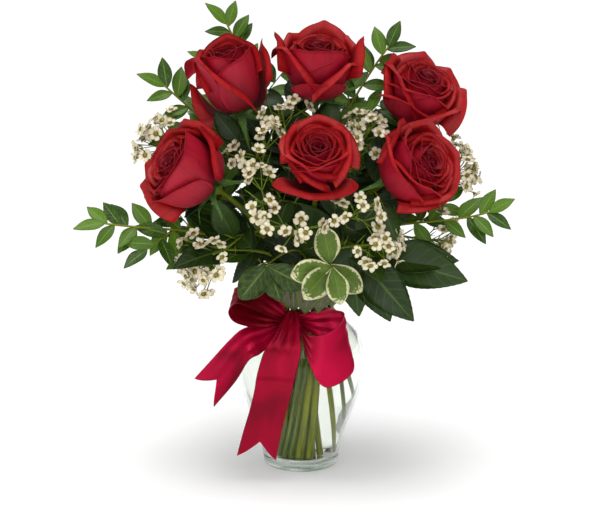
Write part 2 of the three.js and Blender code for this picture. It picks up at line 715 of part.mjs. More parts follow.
// A five-lobed floret on its stalk: a cone of two bands from its point in the stem, through a
// waist, to an open rim.
function floret({ point, facing, root, scale }, grow = 0) {
  const [lobe, notch, depth, waist] = [6 * scale + grow, 3.4 * scale + grow, 4.6 * scale, 0.8 + grow];
  const right = facing.clone().cross(point.clone().sub(root)).normalize();
  const front = facing.clone().cross(right);
  const cone = new THREE.ConeGeometry(1, 1, 10, 2);
  const position = cone.attributes.position;
  for (let i = 0; i < position.count; i++) {
    const [x, y, z] = [position.getX(i), position.getY(i), position.getZ(i)];
    const step = Math.round((Math.atan2(z, x) / (2 * Math.PI)) * 10 + 10) % 10;
    const onRim = y < -0.25 && Math.hypot(x, z) > 0.5;
    const paired = ((2 * Math.floor(step / 2) + 0.5) / 10) * 2 * Math.PI;
    const angle = onRim ? (step / 10) * 2 * Math.PI : paired;
    const reach = onRim ? (step % 2 ? notch : lobe) : waist;
    const outward = right.clone().multiplyScalar(Math.cos(angle)).addScaledVector(front, Math.sin(angle));
    let moved = root.clone();
    if (y < 0.25) moved = point.clone().addScaledVector(outward, reach);
    if (onRim) moved.addScaledVector(facing, depth + grow);
    if (y < -0.25 && !onRim) moved = point.clone().addScaledVector(facing, 0.45 * depth + grow);
    position.setXYZ(i, moved.x, moved.y, moved.z);
  }
  return solid(cone);
}

// The florets of a branch: a dome round its tip, each on a stalk from the stem below the dome.
function floretPlaces({ arch, tip, toward }, seed) {
  const { count, domeRadius, rise, drop, stalk } = FLORETS;
  const side = Z.clone().cross(toward).normalize();
  return Array.from({ length: count }, (_, i) => {
    const ring = Math.sqrt((i + 0.3) / count);
    const out = side.clone().applyAxisAngle(toward, radians(i * GOLDEN_ANGLE + 40 * seed));
    const point = vector(tip)
      .addScaledVector(out, domeRadius * ring * (1 + 0.12 * vary(seed, i, 1)))
      .addScaledVector(toward, rise - drop * ring * ring + 3 * vary(seed, i, 2));
    const facing = toward.clone().addScaledVector(out, 0.9 * ring).normalize();
    const root = onStem(arch, lerp(...stalk, ring)).point;
    return { point, facing, root, scale: 1.12 + 0.12 * vary(seed, i, 3) };
  });
}

// ---- ribbon ----
// Each stretch of ribbon is given by pairs of points across it, one on each edge.
const BOW = {
  leftLoop: [
    [[-14, -35, 136], [-10, -31, 137]],
    [[-26, -50, 144], [-16, -32, 150]],
    [[-43, -62, 156], [-32, -36, 164]],
    [[-53, -66, 160], [-43, -37, 167]],
    [[-59, -67, 154], [-55, -38, 165]],
    [[-57, -67, 147], [-52, -39, 158]],
    [[-50, -65, 142], [-44, -40, 154]],
    [[-34, -55, 136], [-28, -38, 147]],
    [[-15, -37, 134], [-11, -34, 134]],
  ],
  rightLoop: [
    [[-2, -32, 138], [0, -37, 131]],
    [[14, -38, 143], [14, -52, 127]],
    [[27, -44, 148], [29, -57, 118]],
    [[36, -54, 148], [43, -62, 113]],
    [[30, -64, 140], [42, -70, 106]],
    [[19, -67, 134], [22, -73, 97]],
    [[7, -56, 130], [9, -65, 107]],
    [[-1, -38, 134], [1, -42, 127]],
  ],
  leftTail: [
    [[-14, -35, 136], [-14, -39, 128]],
    [[-32, -44, 136], [-27, -56, 120]],
    [[-48, -50, 134], [-34, -67, 117]],
    [[-60, -52, 124], [-43, -72, 113]],
    [[-74, -52, 108], [-54, -72, 95]],
    [[-89, -52, 91], [-72, -72, 73]],
  ],
  frontTail: [
    [[-13, -38, 137], [-2, -38, 137]],
    [[-21, -51, 130], [-2, -52, 131]],
    [[-30, -58, 118], [0, -62, 118]],
    [[-36, -58, 99], [-4, -63, 99]],
    [[-39, -58, 82], [-8, -62, 81]],
    [[-43, -58, 65], [-12, -61, 65]],
    [[-49, -57, 44], [-17, -60, 43]],
    [[-54, -55, 24], [-21, -58, 21]],
  ],
};

function strip(pairs, rows) {
  const edges = [0, 1].map((k) => new THREE.CatmullRomCurve3(pairs.map((pair) => vector(pair[k]))));
  const surface = (u, v) => edges[0].getPoint(v).lerp(edges[1].getPoint(v), u);
  return blade(surface, 1, rows, RIBBON.thickness);
}

// The swallow-tail cut: a wedge whose point reaches up the middle of a tail from its end.
function swallowCut(pairs) {
  const [before, end] = pairs.slice(-2).map((pair) => pair.map(vector));
  const middle = end[0].clone().lerp(end[1], 0.5);
  const down = middle.clone().sub(before[0].clone().lerp(before[1], 0.5)).normalize();
  const corners = [
    middle.clone().addScaledVector(down, -RIBBON.notch),
    end[0].clone().lerp(end[1], -0.04).addScaledVector(down, 1),
    end[0].clone().lerp(end[1], 1.04).addScaledVector(down, 1),
  ];
  const normal = corners[1].clone().sub(corners[0]).cross(corners[2].clone().sub(corners[0])).normalize();
  const centre = corners[0].clone().add(corners[1]).add(corners[2]).divideScalar(3);
  const wedge = new THREE.CylinderGeometry(1, 1, 1, 3, 1);
  const position = wedge.attributes.position;
  for (let i = 0; i < position.count; i++) {
    const [x, y, z] = [position.getX(i), position.getY(i), position.getZ(i)];
    const corner = Math.round((Math.atan2(x, z) / (2 * Math.PI)) * 3 + 3) % 3;
    const place = Math.hypot(x, z) < 0.5 ? centre : corners[corner];
    const moved = place.clone().addScaledVector(normal, 16 * y);
    position.setXYZ(i, moved.x, moved.y, moved.z);
  }
  return solid(wedge);
}

// The room that the ribbon leaves free: the vase's outside from its shoulder to its rim.
function vaseWithGap() {
  const [shoulder, rim] = [110, 168];
  const wall = wallLineBetween(GAP - RIBBON.band.gap, shoulder, rim);
  return lathe([new THREE.Vector2(0, shoulder), ...wall, new THREE.Vector2(0, rim)]);
}

function ribbon() {
  const { low, high, gap, thickness } = RIBBON.band;
  const inner = [high, low].map((height) => wallLineBetween(-gap, height, height + 9)[0]);
  const outer = inner.map(({ x, y }) => new THREE.Vector2(x + thickness, y)).reverse();
  const band = lathe([...outer, ...inner, outer[0]]);
  const { centre, halfSize } = RIBBON.knot;
  const knot = solid(new THREE.SphereGeometry(1, 8, 5).scale(...halfSize).translate(...centre));
  const { leftLoop, rightLoop, leftTail, frontTail } = BOW;
  const loops = [strip(leftLoop, 11), strip(rightLoop, 10)];
  const tails = [strip(leftTail, 6), strip(frontTail, 7)];
  const cuts = [leftTail, frontTail].map(swallowCut);
  return largestBody(joined([band, knot, ...loops, ...tails]).subtract(joined([vaseWithGap(), ...cuts])));
}

// ---- the whole ----
const arrangement = new THREE.Group();
const standing = []; // solids that later leaves and florets keep clear of

function add(name, shape, [colour, roughness], extra = {}) {
  const material = new THREE.MeshStandardMaterial({ color: colour, roughness, metalness: 0, ...extra });
  const mesh = new THREE.Mesh(geometryOf(shape), material);
  mesh.name = name;
  arrangement.add(mesh);
}

function stand(shape, owner) {
  standing.push({ shape, owner, box: shape.boundingBox() });
}

function boxesMeet(a, b) {
  return [0, 1, 2].every((k) => a.min[k] < b.max[k] && b.min[k] < a.max[k]);
}

function isClear(shape, owner) {
  const box = shape.boundingBox();
  const crosses = (other) => boxesMeet(box, other.box) && !shape.intersect(other.shape).isEmpty();
  return !standing.some((other) => other.owner !== owner && crosses(other));
}

// A leaf that would cross a neighbour is swung round its stem until it is clear, or left out.
const SWINGS = [0, 18, -18, 36, -36, 60, -60];

function clearLeaf(kind, owner, { root, direction, facing, scale, axis }) {
  for (const swing of SWINGS) {
    const turn = new THREE.Quaternion().setFromAxisAngle(axis, radians(swing));
    const along = direction.clone().applyQuaternion(turn);
    const up = facing.clone().applyQuaternion(turn);
    const swollen = leaf(kind, root, along, up, scale, GAP);
    if (isClear(swollen, owner)) return [leaf(kind, root, along, up, scale)];
  }
  return [];
}

function grownOn(stem, branch, seed) {
  const { kind, name } = stem;
  if (kind === "waxflower") {
    const places = floretPlaces(branch, seed).filter((place) => isClear(floret(place, GAP), name));
    return places.map((place) => floret(place));
  }
  const places = kind === "pittosporum" ? whorlPlaces(branch) : leafPlaces(kind, branch, seed);
  return places.flatMap((place) => clearLeaf(kind, name, place));
}

const roses = ROSES.map((rose, i) => {
  return { ...rose, petals: PETALS[i], name: `rose_${i + 1}`, branches: [rose] };
});
const kinds = {
  rose: roses,
  pittosporum: PITTOSPORUM,
  salal: SALAL,
  waxflower: WAXFLOWER,
  huckleberry: HUCKLEBERRY,
};
const plants = Object.entries(kinds).flatMap(([kind, list]) => list.map((plant) => ({ ...plant, kind })));
const stems = routeStems(plants);
const bare = new Map(stems.map((stem) => [stem.name, stemSolid(stem)]));

const glass = vase();
const bow = ribbon();
add("vase", glass, COLOURS.glass, { transparent: true, opacity: 0.35 });
add("water", water(stems), COLOURS.water, { transparent: true, opacity: 0.3 });
add("ribbon", bow, COLOURS.satin);
stand(glass, "vase");
stand(bow, "ribbon");
bare.forEach((shape, name) => stand(shape, name));

for (const rose of stems.filter(({ kind }) => kind === "rose")) {
  const green = bare.get(rose.name).add(sepals(rose));
  const red = bloom(rose);
  add(`${rose.name}_stem`, green, COLOURS.roseStem);
  add(`${rose.name}_bloom`, red, COLOURS.petal);
  stand(green, rose.name);
  stand(red, rose.name);
}

stems.forEach((stem, i) => {
  if (stem.kind === "rose") return;
  const grown = stem.branches.flatMap((branch, k) => grownOn(stem, branch, 3 * i + k));
  const whole = largestBody(joined([bare.get(stem.name), ...grown]));
  add(stem.name, whole, COLOURS[stem.kind]);
  stand(whole, stem.name);
});

export default arrangement;
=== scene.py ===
"""The looks of six red roses with waxflower, huckleberry, salal and variegated pittosporum in a clear
glass vase of water, with a satin bow round its neck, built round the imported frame.

The frame is in metres, +Z up, front towards -Y, with its origin at the centre of the vase's base. The
sizes below are millimetres, and Piece.build turns them into metres. Materials, lights and the camera
are in metres."""

import math

import bpy
import numpy as np
from mathutils import Matrix, Quaternion, Vector
from mathutils.bvhtree import BVHTree


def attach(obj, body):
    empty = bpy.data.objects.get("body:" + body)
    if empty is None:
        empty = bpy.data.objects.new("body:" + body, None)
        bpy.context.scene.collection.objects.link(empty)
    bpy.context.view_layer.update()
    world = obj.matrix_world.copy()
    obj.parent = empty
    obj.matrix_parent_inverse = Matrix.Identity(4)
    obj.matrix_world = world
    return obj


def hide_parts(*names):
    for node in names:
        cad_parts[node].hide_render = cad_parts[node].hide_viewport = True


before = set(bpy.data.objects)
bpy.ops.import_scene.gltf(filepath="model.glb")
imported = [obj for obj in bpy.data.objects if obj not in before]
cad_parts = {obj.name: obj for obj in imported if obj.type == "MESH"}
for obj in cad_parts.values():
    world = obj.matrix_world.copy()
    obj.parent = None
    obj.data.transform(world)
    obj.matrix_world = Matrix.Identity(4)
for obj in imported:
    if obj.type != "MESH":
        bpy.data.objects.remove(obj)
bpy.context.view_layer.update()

MM = 0.001

# ---- driving dimensions, in millimetres ----
# Radius and height of the vase's outside, from the foot to the rim.
OUTLINE = [
    (32.5, 4), (36.6, 25), (44.5, 47), (51.5, 68), (54.5, 92),
    (50, 114), (35.5, 128), (26, 138), (29, 154), (37.5, 172),
]
# The same of its foot below the outline and of its rounded rim above it.
VASE_FOOT = [(0, 0), (20, 0), (30.2, 0), (31.8, 0.6), (32.6, 2.0)]
VASE_RIM = [(37.3, 172.7), (36.6, 172.9), (35.8, 172.6)]
WALL = 2.4  # thickness of the glass
FLOOR = 8  # height of the vase's inner floor
WATER_LEVEL = 123
WATER_GAP = 0.3  # between the water and the glass
NECK_HEIGHT = 138  # of the tightest place inside
NECK_RADIUS = 21.5  # of the room inside it
NECK_PASSES = 900  # in which the stems push each other apart there
CLEARANCE = 0.6  # between two stems
SQUEEZE = 1.5  # how much further apart than they need the stems push each other there
FOOT_HEIGHT = 8.7  # of the stems' feet
FOOT_SPREAD = 0.85  # of the feet, as a share of the spread in the neck
TWIST = 85  # of the bundle from foot to neck, in degrees
# Radius of a stem at its foot and at its tip.
STEM = {
    "rose": (2.6, 2.2),
    "huckleberry": (1.7, 0.8),
    "waxflower": (1.6, 0.8),
    "salal": (2, 0.9),
    "pittosporum": (1.8, 0.8),
}
ARCH_RISE = 34  # shortest first handle of a stem's arch
ARCH_HOLD = 0.38  # length of its handles, as a share of the arch's span
FORK_AT = 0.22  # share of a stem at which its second branch leaves it
FORK_THINNER = 0.8  # radius of a later branch at its start, as a share of the foot's
ROSE_LENGTH = 47  # of a petal
ROSE_BELLY = 28  # radius of the most open petal's belly
ROSE_LIP = 38  # radius of its lip on an open rose
HIP = [(9, 2.2), (7, 3.6), (5, 4.8), (2.5, 5.2), (0.35, 4.4)]  # how far below the bloom, and radius
PETAL_THICKNESS = 0.38
SEPAL_THICKNESS = 0.6
LEAF_THICKNESS = 0.5
FLORET_THICKNESS = 0.3
GOLDEN_ANGLE = 137.5
FRONT = (0, -0.75, 0.65)  # which way leaves face
BACK = (0, 0.7, 0.7)

# ---- what stands in the vase ----
# Each rose's tip, the way it points, size, tallness, how open it is, its turn, and its heart: how many
# petals are wound up there, the openness of the last and their tallness.
ROSE_KEYS = ("tip", "toward", "size", "tall", "open", "turn", "heart")
ROSES = [
    ((-50, -6, 305), (-0.2, -0.3, 0.93), 1, 1.4, 0.45, 205, (14, 0.42, 1)),
    ((13, 8, 320), (0.04, -0.3, 0.95), 1.04, 1.1, 0.95, 120, (20, 0.6, 0.96)),
    ((88, 14, 300), (0.42, -0.38, 0.82), 1.08, 1, 0.9, 70, (22, 0.62, 1)),
    ((-73, -34, 251), (-0.72, -0.42, 0.55), 1.14, 1, 0.75, 260, (18, 0.56, 1)),
    ((13, -50, 264), (0.02, -0.7, 0.71), 1, 1, 0.85, 15, (24, 0.56, 1)),
    ((76, -31, 257), (0.66, -0.6, 0.45), 1.1, 1, 0.8, 160, (22, 0.62, 1)),
]
# The outer petals of each rose: azimuth, openness, tallness, half width, lip (its share of the
# petal's length), how far the lip rolls in radians, and how much higher one side of the rim is.
PETALS = [
    [
        (-128, 0.76, 1.12, 30, 0.16, 1.3, 0.14), (-35, 0.72, 1, 32, 0.05, 0.5, 0),
        (95, 0.6, 1.05, 26, 0.08, 0.7, 0), (165, 0.7, 1, 24, 0.12, 1.1, 0),
        (176, 1, 0.66, 14, 0.28, 0.7, 0), (8, 0.96, 1.04, 14, 0.12, 0.5, 0),
        (50, 0.66, 1, 26, 0.1, 0.8, 0), (-95, 0.58, 1, 28, 0.06, 0.6, 0.1),
        (125, 0.78, 0.92, 22, 0.12, 0.9, 0),
    ],
    [
        (-95, 0.76, 1.2, 34, 0.04, 0.6, 0), (174, 0.86, 1.36, 17, 0.16, 0.6, 0),
        (3, 0.86, 1.32, 17, 0.16, 0.6, 0), (-42, 0.86, 1.02, 26, 0.14, 1.4, -0.05),
        (-142, 0.82, 1.2, 24, 0.12, 1.3, 0.12), (85, 0.7, 1.2, 22, 0.12, 0.8, 0),
        (-85, 0.94, 0.7, 24, 0.06, 0.4, 0), (42, 0.8, 1.06, 24, 0.12, 0.9, 0),
        (130, 0.8, 1.08, 24, 0.12, 0.9, 0),
    ],
    [
        (165, 0.86, 1.1, 26, 0.14, 0.9, 0), (108, 0.8, 1.14, 22, 0.16, 0.9, 0),
        (58, 0.78, 1.1, 20, 0.18, 1, 0), (12, 0.82, 1.08, 20, 0.18, 1.1, 0),
        (-42, 0.86, 1.02, 22, 0.14, 1, 0), (-100, 0.9, 0.86, 28, 0.1, 1, 0),
        (-150, 0.78, 1.1, 30, 0.14, 1.2, 0.1), (-95, 0.72, 1.06, 28, 0.1, 1, 0),
        (35, 0.9, 0.94, 22, 0.16, 1, 0),
    ],
    [
        (-45, 0.76, 1.16, 38, 0.03, 0.3, 0), (163, 0.98, 1.02, 22, 0.2, 0.7, 0),
        (130, 0.84, 1.04, 26, 0.1, 0.8, 0), (45, 0.88, 1.1, 26, 0.12, 0.8, 0),
        (0, 0.92, 0.98, 26, 0.12, 0.8, 0), (-125, 0.84, 0.96, 28, 0.06, 0.5, 0),
        (85, 0.74, 1.06, 26, 0.06, 0.6, 0), (-150, 0.72, 1.04, 26, 0.06, 0.6, 0),
        (-75, 0.66, 1.1, 30, 0.04, 0.4, 0),
    ],
    [
        (90, 0.68, 1.1, 30, 0.12, 1, 0), (12, 0.66, 1.1, 30, 0.12, 1, 0),
        (168, 0.68, 1.1, 30, 0.12, 1, 0), (-118, 0.66, 1.08, 32, 0.12, 1.1, 0.08),
        (-60, 0.6, 1.08, 30, 0.1, 0.9, 0), (-145, 0.72, 1.02, 32, 0.12, 1.3, 0.14),
        (-90, 0.98, 0.78, 40, 0.24, 0.9, 0), (45, 0.74, 1.02, 26, 0.12, 1, 0),
        (130, 0.74, 1.02, 26, 0.12, 1, 0),
    ],
    [
        (-118, 0.94, 1.04, 38, 0.06, 1.2, 0), (165, 0.94, 1.05, 22, 0.12, 0.9, 0),
        (112, 0.84, 1.1, 26, 0.12, 0.9, 0), (45, 0.78, 1.1, 30, 0.1, 0.9, 0),
        (-20, 0.8, 1.08, 28, 0.1, 0.9, 0), (-50, 0.92, 0.96, 18, 0.14, 1, 0),
        (-85, 0.76, 1.08, 30, 0.08, 0.9, 0), (-165, 0.74, 1.08, 28, 0.08, 0.8, 0),
        (75, 0.86, 1, 24, 0.12, 1, 0),
    ],
]


def limb(tip, toward, **more):
    """A branch by its tip and the way it points there. rise: how far it first climbs. facing: which
    way its leaves face. groups: how many groups of florets it carries, all moved by a shift. whorl: the
    azimuth of each leaf round its tip."""
    return dict(tip=tip, toward=toward, **more)


HUCKLEBERRY = [
    [
        limb((-63, 42, 376), (-0.45, 0.05, 0.9), leaves=8),
        limb((-114, 8, 328), (-0.72, -0.05, 0.68), leaves=8),
    ],
    [
        limb((74, 30, 358), (0.6, 0.05, 0.8), leaves=8),
        limb((106, 84, 286), (0.6, 0.55, 0.55), leaves=8, facing=BACK),
    ],
    [limb((-162, -44, 222), (-0.95, -0.2, 0.2), leaves=10, rise=84)],
    [
        limb((22, 84, 340), (0.15, 0.5, 0.85), leaves=7, facing=BACK),
        limb((-92, 84, 292), (-0.55, 0.6, 0.55), leaves=8, facing=BACK),
    ],
    [limb((156, -36, 230), (0.85, -0.25, 0.35), leaves=8, rise=100)],
]
SALAL = [
    [
        limb((74, -44, 192), (0.9, -0.2, -0.05), facing=(0.15, -0.45, 0.86), leaves=3, rise=62),
        limb((54, -51, 187), (0.4, -0.45, -0.8), facing=(0.3, -0.85, 0.4), leaves=1, rise=70),
    ],
    [
        limb((-62, -46, 200), (-0.75, -0.4, 0.1), facing=(-0.1, -0.6, 0.8), leaves=3, rise=58),
        limb((28, -34, 226), (0.25, -0.5, 0.82), facing=(0.1, -0.9, 0.4), leaves=2),
    ],
    [
        limb((-62, 66, 205), (-0.65, 0.7, 0.15), facing=BACK, leaves=2, rise=56),
        limb((64, 72, 205), (0.6, 0.75, 0.15), facing=BACK, leaves=2, rise=56),
        limb((0, 84, 232), (0, 0.85, 0.45), facing=BACK, leaves=3),
    ],
]
PITTOSPORUM = [
    limb((26, -66, 190), (0.15, -0.95, 0.1), whorl=(262, 352, 318, 78, 222), rise=66),
    limb((-28, -60, 190), (-0.15, -0.95, 0.05), whorl=(205, 250, 308), rise=66),
]
WAXFLOWER = [
    [
        limb((-116, -12, 286), (-0.75, -0.15, 0.62), groups=7, shift=(-8, 0, 5)),
        limb((-72, -60, 200), (-0.6, -0.7, 0.1), rise=56, groups=9, shift=(-13, -4, -9)),
    ],
    [
        limb((-16, -20, 312), (-0.15, -0.5, 0.85), groups=3),
        limb((-38, -46, 284), (-0.3, -0.65, 0.7), groups=3),
        limb((-36, -72, 248), (-0.3, -0.85, 0.4), groups=2),
    ],
    [
        limb((56, -24, 298), (0.3, -0.5, 0.8), groups=5),
        limb((48, -76, 240), (0.3, -0.85, 0.4), groups=3),
    ],
    [
        limb((134, 10, 252), (0.8, 0, 0.5), rise=78, groups=7, shift=(5, -4, 7)),
        limb((120, -22, 202), (0.85, -0.3, 0.1), rise=50, groups=5),
    ],
    [
        limb((-6, -86, 226), (-0.05, -0.95, 0.25), rise=66, groups=3),
        limb((68, -78, 212), (0.5, -0.8, 0.2), groups=4),
    ],
    [
        limb((-4, 84, 262), (0, 0.85, 0.5), groups=5),
        limb((-66, 62, 266), (-0.5, 0.65, 0.55), groups=5),
        limb((50, 64, 282), (0.3, 0.6, 0.7), groups=5),
    ],
]
# Stems that lean on the vase's wall: azimuths of foot and neck in degrees, and the foot's height.
LEANING = {
    "huckleberry_5": (-4, -26, 50),
    "waxflower_4": (-8, 8, 26),
    "salal_1": (-24, -50, 14),
}
LEANING_RISE = 7 * NECK_RADIUS  # how far they climb while they go out by their distance from the axis

# ---- small tools ----
Z = Vector((0, 0, 1))


def vary(seed, i, k):
    """A steady number from -1 to 1 for the k-th choice of the i-th repeat of a piece."""
    wave = math.sin(seed * 12.9898 + i * 78.233 + k * 37.719) * 43758.5453
    return 2 * (wave - math.floor(wave)) - 1


def lerp(a, b, t):
    return a + (b - a) * t


def smooth(t):
    t = np.clip(t, 0, 1)
    return t * t * (3 - 2 * t)


def turned(vector, axis, degrees):
    return Quaternion(axis, math.radians(degrees)) @ vector


def spread_from(axis, sideways, angle):
    """The direction that leans from an axis to the side by an angle in radians."""
    return axis * math.cos(angle) + sideways * math.sin(angle)


def catmull_rom(points, t):
    """Points at the shares t of a spline through the given points."""
    points = np.array(points, float)
    t = np.atleast_1d(t) * (len(points) - 1)
    i = np.minimum(t.astype(int), len(points) - 2)
    w = (t - i)[:, None]
    last = len(points) - 1
    a, b, c, d = (points[np.clip(i + k, 0, last)] for k in (-1, 0, 1, 2))
    before, after = (c - a) / 2, (d - b) / 2
    cubic = 2 * b - 2 * c + before + after
    square = 3 * c - 3 * b - 2 * before - after
    return cubic * w**3 + square * w**2 + before * w + b


class Arch:
    """A cubic Bezier curve read by the share of its length."""

    STEPS = np.linspace(0, 1, 101)

    def __init__(self, *points):
        self.points = points
        places = [self.at(float(t)) for t in self.STEPS]
        self.reached = np.cumsum([0.0] + [(b - a).length for a, b in zip(places, places[1:])])
        self.length = float(self.reached[-1])

    def at(self, t):
        a, b, c, d = self.points
        r = 1 - t
        return a * r**3 + b * 3 * r * r * t + c * 3 * r * t * t + d * t**3

    def parameter(self, share):
        return float(np.interp(share * self.length, self.reached, self.STEPS))

    def point(self, share):
        return self.at(self.parameter(share))

    def tangent(self, share):
        t = min(max(self.parameter(share), 0.001), 0.999)
        return (self.at(t + 0.001) - self.at(t - 0.001)).normalized()

    def back(self, distance):
        """The point and the tangent that far before the end."""
        share = min(max(1 - distance / self.length, 0.1), 1)
        return self.point(share), self.tangent(share)


# ---- meshes ----
class Piece:
    """Gathers closed sheets, tubes and turned shapes, in millimetres, for one Blender object."""

    def __init__(self, name, slot, materials):
        self.name, self.slot, self.materials = name, slot, materials
        self.points, self.faces, self.uv, self.tint, self.paint = [], [], [], [], []
        self.count = 0

    def add(self, points, faces, uv, tint, paint=0):
        """tint: three numbers a point, for the materials: a share along, a side and a draw. paint: which
        of the materials the faces have."""
        self.points.append(points)
        self.uv.append(uv)
        self.tint.append(np.broadcast_to(np.array(tint, float), (len(points), 3)))
        self.faces.extend([[int(p) + self.count for p in face] for face in faces])
        self.paint.extend([paint] * len(faces))
        self.count += len(points)

    def build(self, replaces=()):
        mesh = bpy.data.meshes.new(self.name)
        points = np.concatenate(self.points) * MM
        mesh.from_pydata(points.tolist(), [], self.faces)
        loops = np.zeros(len(mesh.loops), int)
        mesh.loops.foreach_get("vertex_index", loops)
        mesh.uv_layers.new(name="UVMap").data.foreach_set("uv", np.concatenate(self.uv)[loops].ravel())
        tint = np.concatenate(self.tint)
        colour = np.column_stack([tint, np.ones(len(tint))])
        mesh.attributes.new("tint", "FLOAT_COLOR", "POINT").data.foreach_set("color", colour.ravel())
        for material in self.materials:
            mesh.materials.append(material)
        mesh.polygons.foreach_set("material_index", self.paint)
        mesh.polygons.foreach_set("use_smooth", [True] * len(mesh.polygons))
        mesh.validate()
        body = bpy.data.objects.new(self.name, mesh)
        bpy.context.scene.collection.objects.link(body)
        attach(body, "root")
        if replaces:
            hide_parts(*replaces)
        return body


def grid_faces(rows, columns):
    """The four-cornered faces of a grid of points, as an array."""
    r, c = np.meshgrid(np.arange(rows), np.arange(columns), indexing="ij")
    a = (r * (columns + 1) + c).ravel()
    return np.column_stack([a, a + 1, a + columns + 2, a + columns + 1])


def sheet(piece, centre, thickness, draw=0.0, paint=0):
    """A closed sheet round a grid of points, an array of rows by columns by 3."""
    rows, columns = centre.shape[0] - 1, centre.shape[1] - 1
    normal = np.cross(np.gradient(centre, axis=1), np.gradient(centre, axis=0))
    size = np.linalg.norm(normal, axis=2, keepdims=True)
    normal = normal / np.maximum(size, 1e-9)
    upper = (centre + normal * thickness / 2).reshape(-1, 3)
    lower = (centre - normal * thickness / 2).reshape(-1, 3)
    v, u = np.meshgrid(np.linspace(0, 1, rows + 1), np.linspace(0, 1, columns + 1), indexing="ij")
    uv = np.column_stack([u.ravel(), v.ravel()])
    half = len(upper)
    top = grid_faces(rows, columns)
    wide = columns + 1
    edge = [r * wide for r in range(rows)] + [rows * wide + c for c in range(columns)]
    edge += [r * wide + columns for r in range(rows, 0, -1)] + list(range(columns, 0, -1))
    rim = [(q, p, p + half, q + half) for p, q in zip(edge, edge[1:] + edge[:1])]
    faces = top.tolist() + (top[:, ::-1] + half).tolist() + rim
    tint = np.column_stack(
        [np.tile(uv[:, 1], 2), np.repeat([0.0, 1.0], half), np.full(2 * half, 0.5 + 0.5 * draw)]
    )
    piece.add(np.concatenate([upper, lower]), faces, np.tile(uv, (2, 1)), tint, paint)


def between_rings(rings):
    """The faces between rings of points, where a ring of one point closes the shape."""
    faces = []
    for low, high in zip(rings, rings[1:]):
        for k in range(max(len(low), len(high))):
            n = k + 1
            face = (low[k % len(low)], low[n % len(low)], high[n % len(high)], high[k % len(high)])
            faces.append(list(dict.fromkeys(face)))
    return faces


def tube(piece, places, sides=8, draw=0.0, paint=0):
    """A round tube with closed ends through (point, radius) pairs."""
    directions = [(b - a).normalized() for (a, _), (b, _) in zip(places, places[1:])]
    directions.append(directions[-1])
    normal = directions[0].orthogonal().normalized()
    points, uv = [], []
    for i, ((point, radius), direction) in enumerate(zip(places, directions)):
        if i > 0:
            normal = directions[i - 1].rotation_difference(direction) @ normal
        side = direction.cross(normal)
        for k in range(sides):
            angle = 2 * math.pi * k / sides
            points.append(point + (normal * math.cos(angle) + side * math.sin(angle)) * radius)
            uv.append((k / sides, i / (len(places) - 1)))
    rings = [range(i * sides, (i + 1) * sides) for i in range(len(places))]
    faces = [*between_rings(rings), rings[0][::-1], rings[-1]]
    uv = np.array(uv)
    tint = np.column_stack([uv[:, 1], np.zeros(len(uv)), np.full(len(uv), 0.5 + 0.5 * draw)])
    piece.add(np.array(points), faces, uv, tint, paint)


def lathe(piece, profile, sides):
    """Turns a profile of (radius, height) pairs, which starts and ends on the axis, round the axis."""
    points, rings = [], []
    for radius, height in profile:
        count = 1 if radius < 1e-6 else sides
        rings.append(range(len(points), len(points) + count))
        for k in range(count):
            angle = 2 * math.pi * k / sides
            points.append((radius * math.cos(angle), radius * math.sin(angle), height))
    points = np.array(points, float)
    piece.add(points, between_rings(rings), points[:, [0, 2]] / 100, (0, 0, 0.5))


# ---- materials ----
class Nodes:
    """A node tree, with short calls for the nodes used here."""

    def __init__(self, tree):
        self.tree = tree

    def node(self, kind, inputs=None, **properties):
        made = self.tree.nodes.new("ShaderNode" + kind)
        for key, value in properties.items():
            setattr(made, key, value)
        for key, value in (inputs or {}).items():
            self.feed(made.inputs[key], value)
        return made

    def feed(self, socket, value):
        if isinstance(value, bpy.types.NodeSocket):
            self.tree.links.new(value, socket)
        else:
            socket.default_value = value

    def math(self, operation, *values):
        return self.node("Math", dict(enumerate(values)), operation=operation).outputs[0]

    def times(self, a, b):
        return self.math("MULTIPLY", a, b)

    def mix(self, factor, a, b):
        return self.node("Mix", {0: factor, 6: a, 7: b}, data_type="RGBA").outputs[2]

    def ramp(self, value, low, high, most=1.0):
        """0 below low and the most above high, eased between."""
        inputs = {"Value": value, "From Min": low, "From Max": high, "To Max": most}
        return self.node("MapRange", inputs, interpolation_type="SMOOTHSTEP").outputs[0]

    def tint(self):
        """The shares along and to a side, and the draw, that Piece keeps at each point."""
        kept = self.node("Attribute", attribute_name="tint").outputs["Color"]
        return tuple(self.node("SeparateColor", {"Color": kept}).outputs)

    def noise(self, vector, scale, detail=2.0, roughness=0.5):
        inputs = {"Vector": vector, "Scale": scale, "Detail": detail, "Roughness": roughness}
        return self.node("TexNoise", inputs).outputs["Fac"]

    def stretched(self, vector, scale, offset=0.0):
        """The vector scaled on each axis, for streaks. offset: a draw that moves them."""
        place = self.node("CombineXYZ", {"X": self.times(offset, 37.0)}).outputs[0]
        return self.node("Mapping", {"Vector": vector, "Scale": scale, "Location": place}).outputs[0]

    def uv(self):
        return self.node("UVMap", uv_map="UVMap").outputs[0]

    def off_middle(self):
        """How far across a sheet a point lies from its middle line, from 0 to 0.5."""
        across = self.node("SeparateXYZ", {"Vector": self.uv()}).outputs[0]
        return self.math("ABSOLUTE", self.math("SUBTRACT", across, 0.5))

    def place(self):
        return self.node("TexCoord").outputs["Object"]


